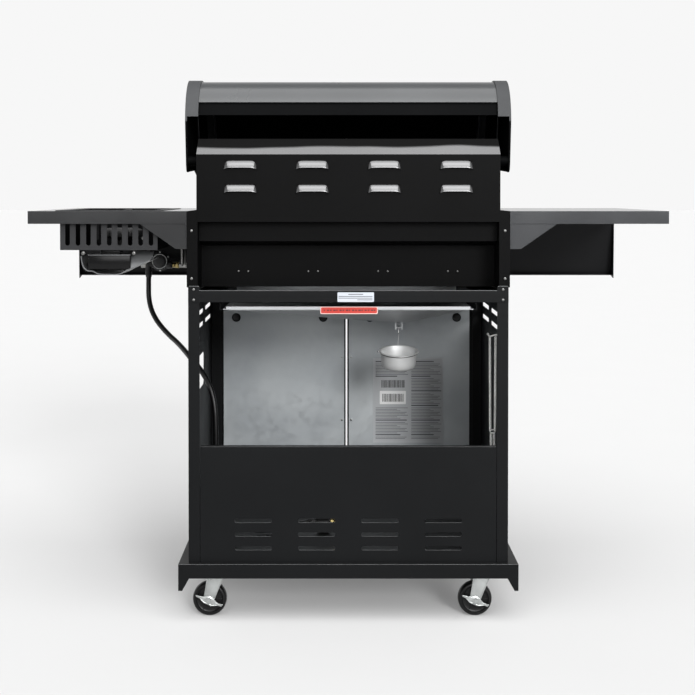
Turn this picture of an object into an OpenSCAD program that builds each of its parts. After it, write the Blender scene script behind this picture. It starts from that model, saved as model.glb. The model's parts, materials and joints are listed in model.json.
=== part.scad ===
// Four-burner gas barbecue grill on a cabinet cart, with a side burner.
// +Z is up, the front with the knobs and doors faces -Y, and the side burner is on the +X shelf.
// The origin is on the floor, under the middle of the grill.

/* [Cart] */
// Width over both side shelves
total_w = 1300; // [1280:10:1320]
// Width over the cabinet side panels
cabinet_w = 650; // [650:1:652]
// Width of the base shelf
base_w = 690; // [680:2:700]
// Height of the underside of the base shelf skirt
base_z = 91; // [91:1:92]
// Height of the base shelf skirt
base_h = 29; // [28:0.5:29]
// Height of the top of the cabinet posts
post_top = 680; // [679:0.5:680]
// Width of the rear post flanges
post_flange = 23; // [20:1:24]
// Sheet metal thickness
sheet = 1.5; // [1.2:0.1:1.5]
// Height of the top edge of the lower rear panel
rear_panel_top = 357; // [330:1:370]

/* [Cooking box] */
// Outside width of the cooking box
box_w = 616; // [614:2:616]
// Height of the cooking grates' upper face
grate_z = 870; // [866:1:872]
// Spacing of the main burners
burner_pitch = 146; // [144:1:147]
// Number of louvers in a row on the rear shield
louver_cols = 4; // [2:1:5]
// Width of one louver
louver_w = 66; // [60:1:70]

/* [Hood] */
// Half width of the hood over its end caps
hood_half = 337; // [336:0.5:338]
// Height of the hood skin's top
hood_top = 1109; // [1105:1:1112]
// Width of the band of each end cap
cap_band = 27; // [25:1:27]
// How far the cap stands proud of the skin
cap_proud = 3; // [2.5:0.5:3]

/* [Side shelves] */
// Height of the shelf tops
shelf_z = 836; // [834:1:838]
// Depth of the shelf lips
shelf_lip = 26; // [24:1:28]
// Front to back depth of the shelves
shelf_depth = 500; // [495:1:500]
// Middle of the side burner box
side_burner_x = 489; // [486:1:492]
// Width of the side burner box
side_box_w = 203; // [198:1:206]

/* [Doors and tray] */
// Height of the door handles
handle_z = 573; // [560:1:590]
// Length of a door handle between its posts
handle_span = 209; // [200:1:212]
// Width of the drip tray
tray_w = 510; // [500:2:512]
// Diameter of the grease cup's rim
cup_rim = 89; // [84:1:92]

/* [Casters] */
// Diameter of the wheels
wheel_d = 70; // [69:0.5:70]
// Width of the wheels
wheel_w = 24; // [22:1:24]
// How far the wheel trails its swivel
trail = 12; // [8:1:14]

/* [Knobs] */
// Diameter of a knob's skirt
knob_d = 50; // [46:1:54]
// How far a knob pushes in
knob_push = 3; // [2:0.5:3.5]

/* [Hidden] */

// Gap between faces of pieces that move past each other
gap = 0.3;
// Running clearance of a shaft in its bore, on the radius
run = 0.06;

// Depths: the cabinet's rear face, its front edge, and the rear of the base
rear_y = 280;
front_y = -195;
base_rear_y = 292;
base_front_y = -232;
half_w = cabinet_w / 2;
base_top = base_z + base_h;
foot_z = 66;
rail_z = [651, 675];

// Cooking box
box_half = box_w / 2;
box_z = [677, 905];
box_front_y = -205;
box_back_y = 198;
recess_y = 250;
box_wall = 2;
burner_x = [for (k = [-1.5:1.5]) k * burner_pitch];
burner_z = 735;
burner_r = 12.5;
flange_top_y = 239;
flange_top_z = 984;
shield_top = 951;
shield_bottom = 814;
louver_x = [for (k = [0:louver_cols - 1]) (k - (louver_cols - 1) / 2) * burner_pitch];
louver_z = [930, 882];
plate_z = 790;
slot_pitch = 129;

// Hood: side outline of a vertical front, a front arc, a level top and a rear arc
hood_front_y = -222;
hood_low_z = 864;
hood_band_half = hood_half - cap_band;
front_arc_r = 174;
front_arc_z = hood_top - front_arc_r;
front_arc_y = hood_front_y + front_arc_r;
rear_arc_r = 88;
rear_arc_z = hood_top - rear_arc_r;
rear_arc_y = 135;
skin_end_z = 1061;
liner_end_z = 1034;
band_end_z = 1031;
liner_gap = 4;
dial_angle = 22;
hinge_y = 200;
hinge_z = 940;
pin_r = 5;

// Side shelves
shelf_half = total_w / 2;
shelf_in = box_half + 22;
shelf_y = [rear_y - shelf_depth, rear_y];
gusset_z = 759;
gusset_x = [350, 422];
fascia_z = [672, 834];

// Control panel: the face leans back towards its top
panel_top = [-222, 852];
panel_bottom = [-262, 672];
panel_tilt = atan2(panel_top[0] - panel_bottom[0], panel_top[1] - panel_bottom[1]);
knob_z = 762;
knob_y = panel_top[0] - (panel_top[1] - knob_z) * tan(panel_tilt);
knob_x = burner_x;
knob_h = 25;
knob_gap = 5;
stem_r = 3;
valve_y = [-234, -212];
manifold_at = [-226, 700];

// Side burner box
side_box_x = [side_burner_x - side_box_w / 2, side_burner_x + side_box_w / 2];
side_box_y = [-60, 262];
side_box_z = 756;
side_burner_y = 101;
support_z = [828, 836];

// Doors
door_y = [-215, -199];
door_z = [125, 668];
door_hinge_x = 316;
door_hinge_y = -207;
door_pin_r = 3;
liner_out = 295.5;
door_in = 2;
door_out = 322;
handle_ends = [160.5 - handle_span / 2, 160.5 + handle_span / 2];
handle_out_y = -250;

// Drip tray and its cup
tray_y = [-185, 268];
tray_z = 635;
// Rails at the sides that the tray slides on, and the height they hang from
rail_x = [tray_w / 2 - 6, tray_w / 2 + 7.5];
rail_top = 664;
tray_low = [-114, 35, 588];
cup_r = cup_rim / 2;
cup_z = [484, 523];
cup_pivot_z = 574;

// Middle of the lighting chain's hook
chain_y = 150;

// Casters
caster_x = 274;
caster_y = [236, -176];
wheel_r = wheel_d / 2;
axle_r = 4;
fork_top = 84;
leg_in = 14.5;
leg_t = 2;
lever_tilt = 22;
bearer_half = 32;

// Hose and its route from the regulator into the cabinet and down to the base shelf
hose_r = 6;
reg_at = [444, -175, 710];
hose_route = [
    [471, -170, 672], [471, -169, 650], [470, -166, 625], [464, -158, 600], [452, -144, 578],
    [434, -122, 559], [412, -94, 542], [390, -62, 529], [368, -22, 515], [348, 14, 500],
    [325, 43, 480], [308, 60, 457], [297, 70, 431], [291, 76, 402], [289, 79, 370],
    [288, 80, 335], [288, 80, 300], [288, 80, 265], [287, 80, 230], [283, 79, 200],
    [273, 77, 174], [256, 74, 153], [233, 70, 138], [205, 64, 130], [172, 58, 129],
    [140, 53, 133], [114, 50, 138], [88, 48, 142]
];

module slab(low, high) {
    translate(low) cube(high - low);
}

// Extrudes an outline given in Y and Z along X
module along_x(x0, x1) {
    translate([x0, 0, 0]) rotate([90, 0, 90]) linear_extrude(x1 - x0) children();
}

// Extrudes an outline given in X and Z along Y
module along_y(y0, y1) {
    translate([0, y1, 0]) rotate([90, 0, 0]) linear_extrude(y1 - y0) children();
}

// Round bar between two points
module rod(a, b, r, fn = 20) {
    d = b - a;
    translate(a) rotate([0, acos(d[2] / norm(d)), atan2(d[1], d[0])])
        cylinder(r = r, h = norm(d), $fn = fn);
}

// Round bar through a list of points, with a ball a little wider than the bar at each corner
module bent_rod(points, r) {
    for (i = [0:len(points) - 2]) rod(points[i], points[i + 1], r);
    for (i = [1:len(points) - 2]) translate(points[i]) sphere(r * 1.12, $fn = 32);
}

// Slot outline with round ends, its length across
module slot(length, height) {
    square([length - height, height], center = true);
    for (s = [-1, 1]) translate([s * (length - height) / 2, 0]) circle(d = height, $fn = 24);
}

// Places children on the control panel face, their +Z along its outward normal
module on_panel(x) {
    translate([x, knob_y, knob_z]) rotate([90 - panel_tilt, 0, 0]) children();
}

function arc(cy, cz, r, a0, a1, n) =
    [for (i = [0:n]) let (a = a0 + (a1 - a0) * i / n) [cy + r * cos(a), cz + r * sin(a)]];

function hood_line(off, end_z) = concat(
    [[hood_front_y - off, hood_low_z]],
    arc(front_arc_y, front_arc_z, front_arc_r + off, 180, 90, 18),
    arc(rear_arc_y, rear_arc_z, rear_arc_r + off, 90, asin((end_z - rear_arc_z) / (rear_arc_r + off)), 14)
);

function reversed(list) = [for (i = [len(list) - 1:-1:0]) list[i]];

module hood_sheet(inner, outer, end_z) {
    polygon(concat(hood_line(outer, end_z), reversed(hood_line(inner, end_z))));
}

// ---- Cart ----

module base_foot() {
    polygon([
        [base_w / 2, base_z], [base_w / 2, foot_z], [base_w / 2 - 8, foot_z],
        [base_w / 2 - 22, base_z]
    ]);
}

module base_shelf() color([0.13, 0.13, 0.14]) {
    half = base_w / 2;
    slab([-half, base_front_y, base_top - sheet], [half, base_rear_y, base_top]);
    for (y = [base_front_y, base_rear_y - sheet]) {
        slab([-half, y, base_z], [half, y + sheet, base_top - sheet]);
        for (m = [0, 1]) mirror([m, 0, 0]) along_y(y, y + sheet) base_foot();
    }
    for (x = [-half, half - sheet])
        slab([x, base_front_y + sheet, base_z], [x + sheet, base_rear_y - sheet, base_top - sheet]);
    // Channels over the casters, open at their ends
    end = half - 20;
    for (y = caster_y) {
        slab([-end, y - bearer_half, base_z], [end, y + bearer_half, base_z + sheet]);
        for (side = [y - bearer_half, y + bearer_half - sheet])
            slab([-end, side, base_z + sheet], [end, side + sheet, base_top - sheet]);
    }
}

module vent_slots() {
    for (y = [60, -106], z = [610, 581.5])
        translate([y, z]) slot(122, 10);
}

module hand_hole() {
    translate([47, 479]) square([126, 50], center = true);
    translate([47, 479]) square([102, 74], center = true);
    for (y = [-4, 98], z = [454, 504]) translate([y, z]) circle(r = 12, $fn = 24);
}

// Side panel on the +X side
module side_panel(with_hole) color([0.16, 0.16, 0.17]) {
    along_x(half_w - sheet, half_w) difference() {
        translate([front_y, base_top]) square([rear_y - front_y, post_top - base_top]);
        vent_slots();
        if (with_hole) hand_hole();
    }
    x = [half_w - post_flange, half_w - sheet];
    slab([x[0], rear_y - sheet, base_top], [x[1], rear_y, post_top]);
    slab([x[0], front_y, base_top], [x[1], front_y + sheet, post_top - 5]);
    slab([x[0], front_y + sheet, box_z[0] - sheet], [x[1], rear_y - sheet, box_z[0]]);
    // Door hinge brackets with their pins, below and above the door
    for (z = [base_top, door_z[1] + 2.5])
        slab([door_hinge_x - 8, door_hinge_y - 4, z], [x[1], front_y, z + sheet]);
    translate([door_hinge_x, door_hinge_y, base_top + sheet]) cylinder(r = door_pin_r, h = 6, $fn = 24);
    translate([door_hinge_x, door_hinge_y, door_z[1] - 3]) cylinder(r = door_pin_r, h = 5.5, $fn = 24);
    // Rail that the drip tray slides on: a lip, a web and a flange to the panel
    y = [tray_y[0] + 10, tray_y[1] - 6];
    slab([rail_x[0], y[0], tray_z - sheet - gap], [rail_x[1], y[1], tray_z - gap]);
    slab([rail_x[1] - sheet, y[0], tray_z - gap], [rail_x[1], y[1], rail_top + sheet]);
    slab([rail_x[1], y[0], rail_top], [x[1], y[1], rail_top + sheet]);
}

module side_panel_right() {
    side_panel(true);
}

module side_panel_left() {
    mirror([1, 0, 0]) side_panel(false);
}

module rear_top_rail() color([0.19, 0.19, 0.2]) {
    along_y(rear_y, rear_y + sheet) {
        translate([-half_w, rail_z[0]]) square([cabinet_w, rail_z[1] - rail_z[0]]);
        for (m = [0, 1]) mirror([m, 0]) {
            translate([half_w - post_flange, rail_z[0]]) square([post_flange, 29]);
            translate([half_w - post_flange + 4, rail_z[0] + 29]) circle(r = 4, $fn = 24);
            translate([half_w - 4, rail_z[0] + 29]) circle(r = 4, $fn = 24);
            translate([half_w - post_flange + 4, rail_z[0]]) square([post_flange - 8, 33]);
        }
    }
    // Folded edges between the posts
    x = half_w - post_flange - 1;
    for (z = [rail_z[0], rail_z[1] - sheet]) slab([-x, rear_y - 14, z], [x, rear_y, z + sheet]);
}

module rear_lower_panel() color([0.14, 0.15, 0.15]) {
    half = half_w - post_flange - 1;
    along_y(rear_y - sheet, rear_y) difference() {
        translate([-half, base_top]) square([2 * half, rear_panel_top - base_top]);
        for (k = [-1.5:1.5], z = [150, 178, 206])
            translate([k * slot_pitch, z]) slot(76, 8);
    }
    slab([-half, rear_y - 16, rear_panel_top - sheet], [half, rear_y - sheet, rear_panel_top]);
    for (x = [-half, half - sheet])
        slab([x, rear_y - 16, base_top], [x + sheet, rear_y - sheet, rear_panel_top - sheet]);
}

// ---- Cooking box ----

module box_side_outline() {
    polygon([
        [box_front_y, box_z[0]], [rear_y - sheet, box_z[0]], [rear_y - sheet, shield_top - 2],
        [flange_top_y, flange_top_z - 2], [flange_top_y - 25, flange_top_z - 2],
        [120, box_z[1]], [box_front_y, grate_z + 2]
    ]);
}

// Bore for the hood hinge pin
module hinge_bore(h) {
    translate([0, hinge_y, hinge_z]) rotate([0, 90, 0]) cylinder(r = pin_r + run, h = h, $fn = 32);
}

module firebox_shell() color([0.09, 0.09, 0.09]) {
    for (m = [0, 1]) mirror([m, 0, 0]) {
        difference() {
            along_x(box_half - box_wall, box_half) box_side_outline();
            hinge_bore(box_half + 1);
        }
        slab([box_half, rear_y - 2 * sheet, 681], [shelf_in - 2, rear_y - sheet, shelf_z]);
    }
    in = box_half - box_wall;
    difference() {
        slab([-in, box_front_y, box_z[0]], [in, box_front_y + box_wall, grate_z + 2]);
        for (x = burner_x)
            translate([x, box_front_y - 1, burner_z]) rotate([-90, 0, 0])
                cylinder(r = burner_r + 0.5, h = 5, $fn = 32);
    }
    slab([-in, box_back_y - box_wall, box_z[0]], [in, box_back_y, box_z[1]]);
    // Ledges for the grates and for the heat plates
    for (z = [grate_z - 10, plate_z - 2]) {
        slab([-in, box_front_y + box_wall, z], [in, box_front_y + 12, z + 2]);
        slab([-in, box_back_y - 12, z], [in, box_back_y - box_wall, z + 2]);
    }
}

// One pressed louver: a shell that leans out over its opening, its middle at the origin
module louver() {
    along_x(-louver_w / 2, louver_w / 2) difference() {
        polygon([[0, 8], [3, 7.5], [6, 5], [8, 0], [8, -6], [6.8, -6], [0, -6]]);
        polygon([[-1, 6], [2.4, 6], [4.9, 4], [6.7, 0], [6.7, -7], [-1, -7]]);
    }
}

module louver_panel() color([0.09, 0.09, 0.1]) {
    in = box_half - box_wall - 0.3;
    along_x(-in, in) polygon([
        [box_back_y, 763], [recess_y, 774], [recess_y, 811], [rear_y, shield_bottom],
        [rear_y, shield_bottom + sheet], [recess_y - sheet, 811 + sheet], [recess_y - sheet, 774 + sheet],
        [box_back_y, 763 + sheet]
    ]);
    difference() {
        along_x(-box_half, box_half) polygon([
            [rear_y - sheet, shield_bottom], [rear_y, shield_bottom], [rear_y, shield_top],
            [flange_top_y, flange_top_z], [flange_top_y, flange_top_z - sheet],
            [rear_y - sheet, shield_top - sheet]
        ]);
        for (x = louver_x, z = louver_z)
            translate([x - louver_w / 2 + 2, rear_y - 5, z - 6]) cube([louver_w - 4, 10, 10]);
    }
    for (x = louver_x, z = louver_z) translate([x, rear_y, z]) louver();
}

module burner_tubes() color([0.6, 0.6, 0.6]) {
    for (x = burner_x) {
        difference() {
            translate([x, box_front_y - 3, burner_z]) rotate([-90, 0, 0])
                cylinder(r = burner_r, h = 396, $fn = 32);
            translate([x, box_front_y - 4, burner_z]) rotate([-90, 0, 0])
                cylinder(r = burner_r - 1.5, h = 380, $fn = 32);
        }
        slab([x - 16, 188, 698], [x + 16, box_back_y - box_wall, 748]);
    }
}

module heat_plates() color([0.55, 0.55, 0.55]) {
    for (x = burner_x)
        translate([x, 0, plate_z]) along_y(box_front_y + 3, box_back_y - 3)
            polygon([[-50, 0], [0, 32], [50, 0], [50, 2], [0, 34], [-50, 2]]);
}

module cooking_grates() color([0.12, 0.12, 0.12]) {
    in = box_half - box_wall - 2;
    depth = [box_front_y + 4, box_back_y - 4];
    pitch = 22.3;
    for (m = [0, 1]) mirror([m, 0, 0]) difference() {
        slab([1, depth[0], grate_z - 8], [in, depth[1], grate_z]);
        for (k = [0:12]) let (x = 11 + k * pitch)
            slab([x, depth[0] + 12, grate_z - 9], [x + 13.5, depth[1] - 12, grate_z + 1]);
    }
}

module warming_rack() color([0.7, 0.7, 0.7]) {
    w = box_half - box_wall - 3;
    y = [55, 175];
    z = 960;
    for (end = y) {
        rod([-w, end, z], [w, end, z], 3);
        for (s = [-1, 1]) rod([s * w, end, grate_z + 10], [s * w, end, z], 3);
    }
    for (s = [-1, 1]) rod([s * w, y[0], z], [s * w, y[1], z], 3);
    for (k = [1:15]) let (x = -w + k * w / 8) rod([x, y[0], z], [x, y[1], z], 1.6, 12);
}

// ---- Gas ----

module gas_manifold() color([0.6, 0.6, 0.6]) {
    difference() {
        union() {
            along_x(-265, side_burner_x + 8) translate(manifold_at) circle(r = 9, $fn = 32);
            for (x = concat(knob_x, [side_burner_x])) {
                slab([x - 12, valve_y[0], 704], [x + 12, valve_y[1], 772]);
                rod([x, valve_y[1] - 1, burner_z], [x, valve_y[1] + 10, burner_z], 4);
            }
        }
        for (x = concat(knob_x, [side_burner_x]))
            on_panel(x) translate([0, 0, -60]) cylinder(r = stem_r + run, h = 70, $fn = 32);
    }
}

module inlet_pipe() color([0.6, 0.6, 0.58]) {
    bent_rod([
        [391, -211.5, 700], [391, -200, 752], [391, -172, 752], [391, -172, 701], [400, -172, 701]
    ], 4.5);
    rod([391, -217, 700], [391, -211, 700], 7);
    // Brass nut and nipple
    rod([399, -172, 701], [411, -172, 701], 8, 6);
    rod([410, -172, 701], [415, -172, 701], 6.5);
}

module regulator() color([0.1, 0.1, 0.1]) {
    translate([reg_at[0], reg_at[1] + 13, reg_at[2]]) rotate([90, 0, 0]) {
        cylinder(r = 24, h = 26, $fn = 48);
        translate([0, 0, -6]) cylinder(r = 14, h = 7, $fn = 32);
    }
    rod([415, -172, 701], [430, -172, 701], 8);
    bent_rod([[450, -172, 704], [471, -170, 702], [471, -170, 690]], 8);
}

module hose_ferrule() color([0.7, 0.7, 0.7]) {
    translate([471, -170, 672]) {
        cylinder(r1 = 6.6, r2 = 8.5, h = 10, $fn = 32);
        translate([0, 0, 10]) cylinder(r = 8.5, h = 8, $fn = 32);
    }
}

// Ring of the hose at a point of its route, square to the route there
function tangent(p, i) = let (
    a = p[max(i - 1, 0)], b = p[min(i + 1, len(p) - 1)]
) i == 0 ? [0, 0, -1] : (i == len(p) - 1 ? [-1, 0, 0] : (b - a) / norm(b - a));

function ring(p, i, r, n) = let (
    t = tangent(p, i), u0 = cross(t, [0, 1, 0]), u = u0 / norm(u0), v = cross(t, u)
) [for (k = [0:n - 1]) p[i] + r * (cos(360 * k / n) * u + sin(360 * k / n) * v)];

module tube(p, r, n) {
    last = len(p) - 1;
    polyhedron(
        [for (i = [0:last]) each ring(p, i, r, n)],
        concat(
            [[for (k = [0:n - 1]) k]],
            [for (i = [0:last - 1], k = [0:n - 1])
                [i * n + (k + 1) % n, i * n + k, (i + 1) * n + k, (i + 1) * n + (k + 1) % n]],
            [[for (k = [n - 1:-1:0]) last * n + k]]
        )
    );
}

module gas_hose() color([0.08, 0.08, 0.08]) {
    tube(hose_route, hose_r, 10);
}

module tank_connector() color([0.12, 0.12, 0.12]) {
    at = hose_route[len(hose_route) - 1];
    translate(at) rotate([0, -90, 0]) {
        cylinder(r = 9, h = 20, $fn = 32);
        translate([0, 0, 20]) cylinder(r = 21, h = 30, $fn = 48);
        translate([0, 0, 50]) cylinder(r = 10, h = 14, $fn = 32);
    }
}

// ---- Panels and shelves ----

// Side outline of the control panel and of the shelf fascias, from a top height down
module panel_outline(top_z) {
    top_y = panel_top[0] - (panel_top[1] - top_z) * tan(panel_tilt);
    polygon([
        [top_y, top_z], panel_bottom, panel_bottom + [16, 0], panel_bottom + [16, sheet],
        panel_bottom + [sheet + 0.3, sheet],
        [top_y + sheet + 0.3, top_z - sheet], [top_y + 12, top_z - sheet], [top_y + 12, top_z]
    ]);
}

module control_panel() color([0.2, 0.2, 0.21]) {
    difference() {
        union() {
            along_x(-half_w, half_w) panel_outline(panel_top[1]);
            slab([-half_w, panel_top[0] + 12, panel_top[1] - sheet], [half_w, box_front_y, panel_top[1]]);
        }
        for (x = knob_x) on_panel(x) translate([0, 0, -20]) cylinder(r = 7, h = 40, $fn = 32);
        on_panel(0) translate([0, 0, -20]) cylinder(r = 9 + gap, h = 40, $fn = 32);
    }
    // Guide tube of the ignition button
    on_panel(0) difference() {
        translate([0, 0, -18]) cylinder(r = 11.5, h = 17.2, $fn = 32);
        translate([0, 0, -19]) cylinder(r = 9 + gap, h = 20, $fn = 32);
    }
}

// Shelf on the +X side
module side_shelf(with_burner) color([0.33, 0.34, 0.35]) {
    difference() {
        slab([shelf_in, shelf_y[0], shelf_z - sheet], [shelf_half, shelf_y[1], shelf_z]);
        if (with_burner)
            slab([side_box_x[0], side_box_y[0], shelf_z - 5], [side_box_x[1], side_box_y[1], shelf_z + 5]);
    }
    for (y = [shelf_y[0], shelf_y[1] - sheet])
        slab([shelf_in, y, shelf_z - shelf_lip], [shelf_half, y + sheet, shelf_z - sheet]);
    slab([shelf_half - sheet, shelf_y[0] + sheet, shelf_z - shelf_lip],
         [shelf_half, shelf_y[1] - sheet, shelf_z - sheet]);
    // Gussets, and the plate that bolts to the cooking box
    top = shelf_z - 22;
    for (y = [shelf_y[0] + sheet, shelf_y[1] - 2 * sheet]) along_y(y, y + sheet)
        polygon([
            [shelf_in, top], [gusset_x[1], top], [gusset_x[1], shelf_z - shelf_lip - 1],
            [gusset_x[0], gusset_z], [shelf_in, gusset_z]
        ]);
    slab([shelf_in - 2, shelf_y[0] + 12, gusset_z], [shelf_in, shelf_y[1], shelf_z]);
}

module side_shelf_right() {
    side_shelf(true);
}

module side_shelf_left() {
    mirror([1, 0, 0]) side_shelf(false);
}

module fascia() {
    x = [half_w + 4, shelf_half - 2];
    along_x(x[0], x[1]) panel_outline(shelf_z - shelf_lip - 2);
    along_x(x[1] - sheet, x[1]) polygon([
        panel_bottom, panel_bottom + [30, -6], panel_bottom + [34, -6],
        [-224, shelf_z - shelf_lip - 2], [panel_top[0] - 9.3, shelf_z - shelf_lip - 2]
    ]);
}

module shelf_fascias() color([0.2, 0.2, 0.21]) {
    mirror([1, 0, 0]) fascia();
    difference() {
        fascia();
        on_panel(side_burner_x) translate([0, 0, -20]) cylinder(r = 7, h = 40, $fn = 32);
    }
}

module side_burner_box() color([0.28, 0.29, 0.3]) {
    x = side_box_x;
    y = side_box_y;
    slab([x[0] + 2, y[0] + 2, side_box_z], [x[1] - 2, y[1] - 1, side_box_z + sheet]);
    for (side = [y[0] + 2, y[1] - 1 - sheet]) along_y(side, side + sheet) difference() {
        translate([x[0] + 2, side_box_z + sheet]) square([x[1] - x[0] - 4, shelf_z - side_box_z - sheet]);
        for (k = [-4:4]) translate([side_burner_x - 1 + k * 21.3, 797]) rotate(90) slot(64, 9.5);
    }
    for (side = [x[0] + 2, x[1] - 2 - sheet])
        slab([side, y[0] + 2 + sheet, side_box_z + sheet], [side + sheet, y[1] - 1 - sheet, shelf_z]);
    difference() {
        slab([x[0] - 6, y[0] - 6, shelf_z], [x[1] + 6, y[1] + 6, shelf_z + sheet]);
        slab([x[0] + 10, y[0] + 10, shelf_z - 1], [x[1] - 10, y[1] - 10, shelf_z + 5]);
    }
    // Tabs inside the box that carry the pan support
    for (m = [0, 1]) translate([side_burner_x, side_burner_y, 0]) mirror([m, 0, 0])
        for (at = [-60, 60])
            slab([side_box_w / 2 - 16, at - 10, support_z[0] - sheet], [side_box_w / 2 - 3.5, at + 10, support_z[0]]);
}

module side_burner() color([0.25, 0.25, 0.25]) {
    at = [side_burner_x, side_burner_y, 0];
    low = side_box_z + sheet;
    // Burner head on its neck
    translate(at) {
        translate([0, 0, low]) cylinder(r = 20, h = 18, $fn = 32);
        translate([0, 0, low + 18]) cylinder(r = 46, h = 22, $fn = 48);
    }
    // Air box and curved pan under the shelf box
    slab([447, 190, 716], [534, 250, 747]);
    slab([470, 200, 747], [510, 240, side_box_z]);
    along_y(120, 250) polygon([
        [549, 742], [540, 713], [524, 711], [512, 705], [471, 704.5], [454, 713], [407, 733],
        [407, 735], [454, 715], [471, 706.5], [512, 707], [524, 713], [538, 715], [547, 742]
    ]);
    // Mixing tube to the valve
    rod([side_burner_x, 190, 728], [side_burner_x, -199, burner_z], 11);
    // Pan support inside the box: a frame with four fingers over the burner
    half = [side_box_w / 2 - 10.5, 125];
    for (a = [0, 180]) translate(at) rotate(a)
        slab([28, -3, support_z[0]], [half[0] - 1, 3, support_z[1]]);
    for (a = [90, 270]) translate(at) rotate(a)
        slab([28, -3, support_z[0]], [half[1] - 1, 3, support_z[1]]);
    translate(at) difference() {
        slab([-half[0], -half[1], support_z[0]], [half[0], half[1], support_z[1] - 2]);
        slab([-half[0] + 7, -half[1] + 7, support_z[0] - 1], [half[0] - 7, half[1] - 7, support_z[1]]);
    }
}

module screw(at, r = 3.6) {
    translate(at) rotate([-90, 0, 0]) cylinder(r = r, h = 2.2, $fn = 20);
}

module screws() color([0.75, 0.75, 0.75]) {
    for (s = [-1, 1]) {
        for (z = [796, 699]) screw([s * 318, rear_y - sheet, z]);
        for (z = [677, 656]) screw([s * (half_w - post_flange / 2), rear_y + sheet, z], 3.4);
        // Hood hinge pins
        rod([s * (box_half - 8), hinge_y, hinge_z], [s * (hood_half - 1), hinge_y, hinge_z], pin_r, 32);
    }
    for (x = burner_x, s = [-1, 1]) screw([x + s * 10, box_back_y, 709], 2.6);
}

module lighting_chain() color([0.8, 0.8, 0.8]) {
    // Hook on the panel, two hanging strands, the ring at their foot and the match holder under it
    y = [chain_y - 2, chain_y + 2];
    slab([-half_w + sheet, y[0], 571], [-296, y[1], 574]);
    for (x = [-303, -315]) {
        slab([x - 1.5, y[0], 562], [x + 1.5, y[1], 571]);
        rod([x, chain_y, 562], [x, chain_y, 364], 2.4, 16);
    }
    slab([-317, y[0], 361], [-301, y[1], 364]);
    rod([-309, chain_y, 361], [-309, chain_y, 262], 2.4, 16);
}

// ---- Casters ----

module caster_plates() color([0.7, 0.7, 0.7]) {
    for (sx = [-1, 1], y = caster_y) translate([sx * caster_x, y, 0]) {
        slab([-27, -27, base_z - 3], [27, 27, base_z]);
        translate([0, 0, fork_top + gap]) cylinder(r = 17, h = base_z - 3 - fork_top - gap, $fn = 32);
        translate([0, 0, 79]) cylinder(r = 5, h = 8, $fn = 32);
        translate([0, 0, 76]) cylinder(r = 8, h = 3.4, $fn = 32);
    }
}

// Fork with its axle, its swivel at the origin and its wheel towards +X
module fork() color([0.75, 0.75, 0.76]) {
    difference() {
        translate([0, 0, fork_top - 4]) cylinder(r = 22, h = 4, $fn = 48);
        translate([0, 0, fork_top - 5]) cylinder(r = 5 + run, h = 6, $fn = 32);
    }
    for (y = [leg_in, -leg_in - leg_t]) along_y(y, y + leg_t) {
        polygon([
            [-16, fork_top - 0.5], [16, fork_top - 0.5],
            [trail + 10, wheel_r - 4], [trail - 10, wheel_r - 4]
        ]);
        translate([trail, wheel_r]) circle(r = 11, $fn = 32);
    }
    rod([trail, -22, wheel_r], [trail, 22, wheel_r], axle_r, 32);
}

module wheel() color([0.08, 0.08, 0.08]) {
    w = wheel_w / 2;
    translate([trail, 0, wheel_r]) rotate([90, 0, 0]) rotate_extrude($fn = 72)
        polygon([
            [axle_r + run, -w - 1], [10, -w - 1], [10, -w + 3], [24, -w + 3], [26, -w], [wheel_r - 4, -w],
            [wheel_r - 1, -w + 2], [wheel_r, -w + 5], [wheel_r, w - 5], [wheel_r - 1, w - 2],
            [wheel_r - 4, w], [26, w], [24, w - 3], [10, w - 3], [10, w + 1], [axle_r + run, w + 1]
        ]);
}

// Stamped lever that rocks on the rear end of the axle
module brake_lever() color([0.75, 0.75, 0.76]) {
    translate([trail, 0, wheel_r]) rotate([0, -lever_tilt, 0]) difference() {
        union() {
            along_y(17.5, 20.5) polygon([[-30, -2], [-26, 5], [26, 5], [30, -2], [12, -9], [-12, -9]]);
            rod([0, 17.2, 0], [0, 21, 0], 8, 32);
        }
        translate([0, 30, 0]) rotate([90, 0, 0]) cylinder(r = axle_r + run, h = 20, $fn = 32);
    }
}

module at_caster(sx, y) {
    translate([sx * caster_x, y, 0]) children();
}

// ---- Hood ----

module hood_skin() color([0.42, 0.43, 0.44]) {
    difference() {
        along_x(-hood_band_half - 2, hood_band_half + 2) hood_sheet(-sheet, 0, skin_end_z);
        stem_hole();
    }
}

module stem_hole() {
    on_dial() translate([0, 0, -20]) cylinder(r = 6, h = 40, $fn = 24);
}

module on_dial() {
    translate([0, front_arc_y - front_arc_r * cos(dial_angle), front_arc_z + front_arc_r * sin(dial_angle)])
        rotate([90 - dial_angle, 0, 0]) children();
}

module hood_liner() color([0.1, 0.1, 0.1]) {
    difference() {
        along_x(-hood_band_half - 1, hood_band_half + 1)
            hood_sheet(-liner_gap - sheet, -liner_gap, liner_end_z);
        stem_hole();
    }
}

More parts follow.
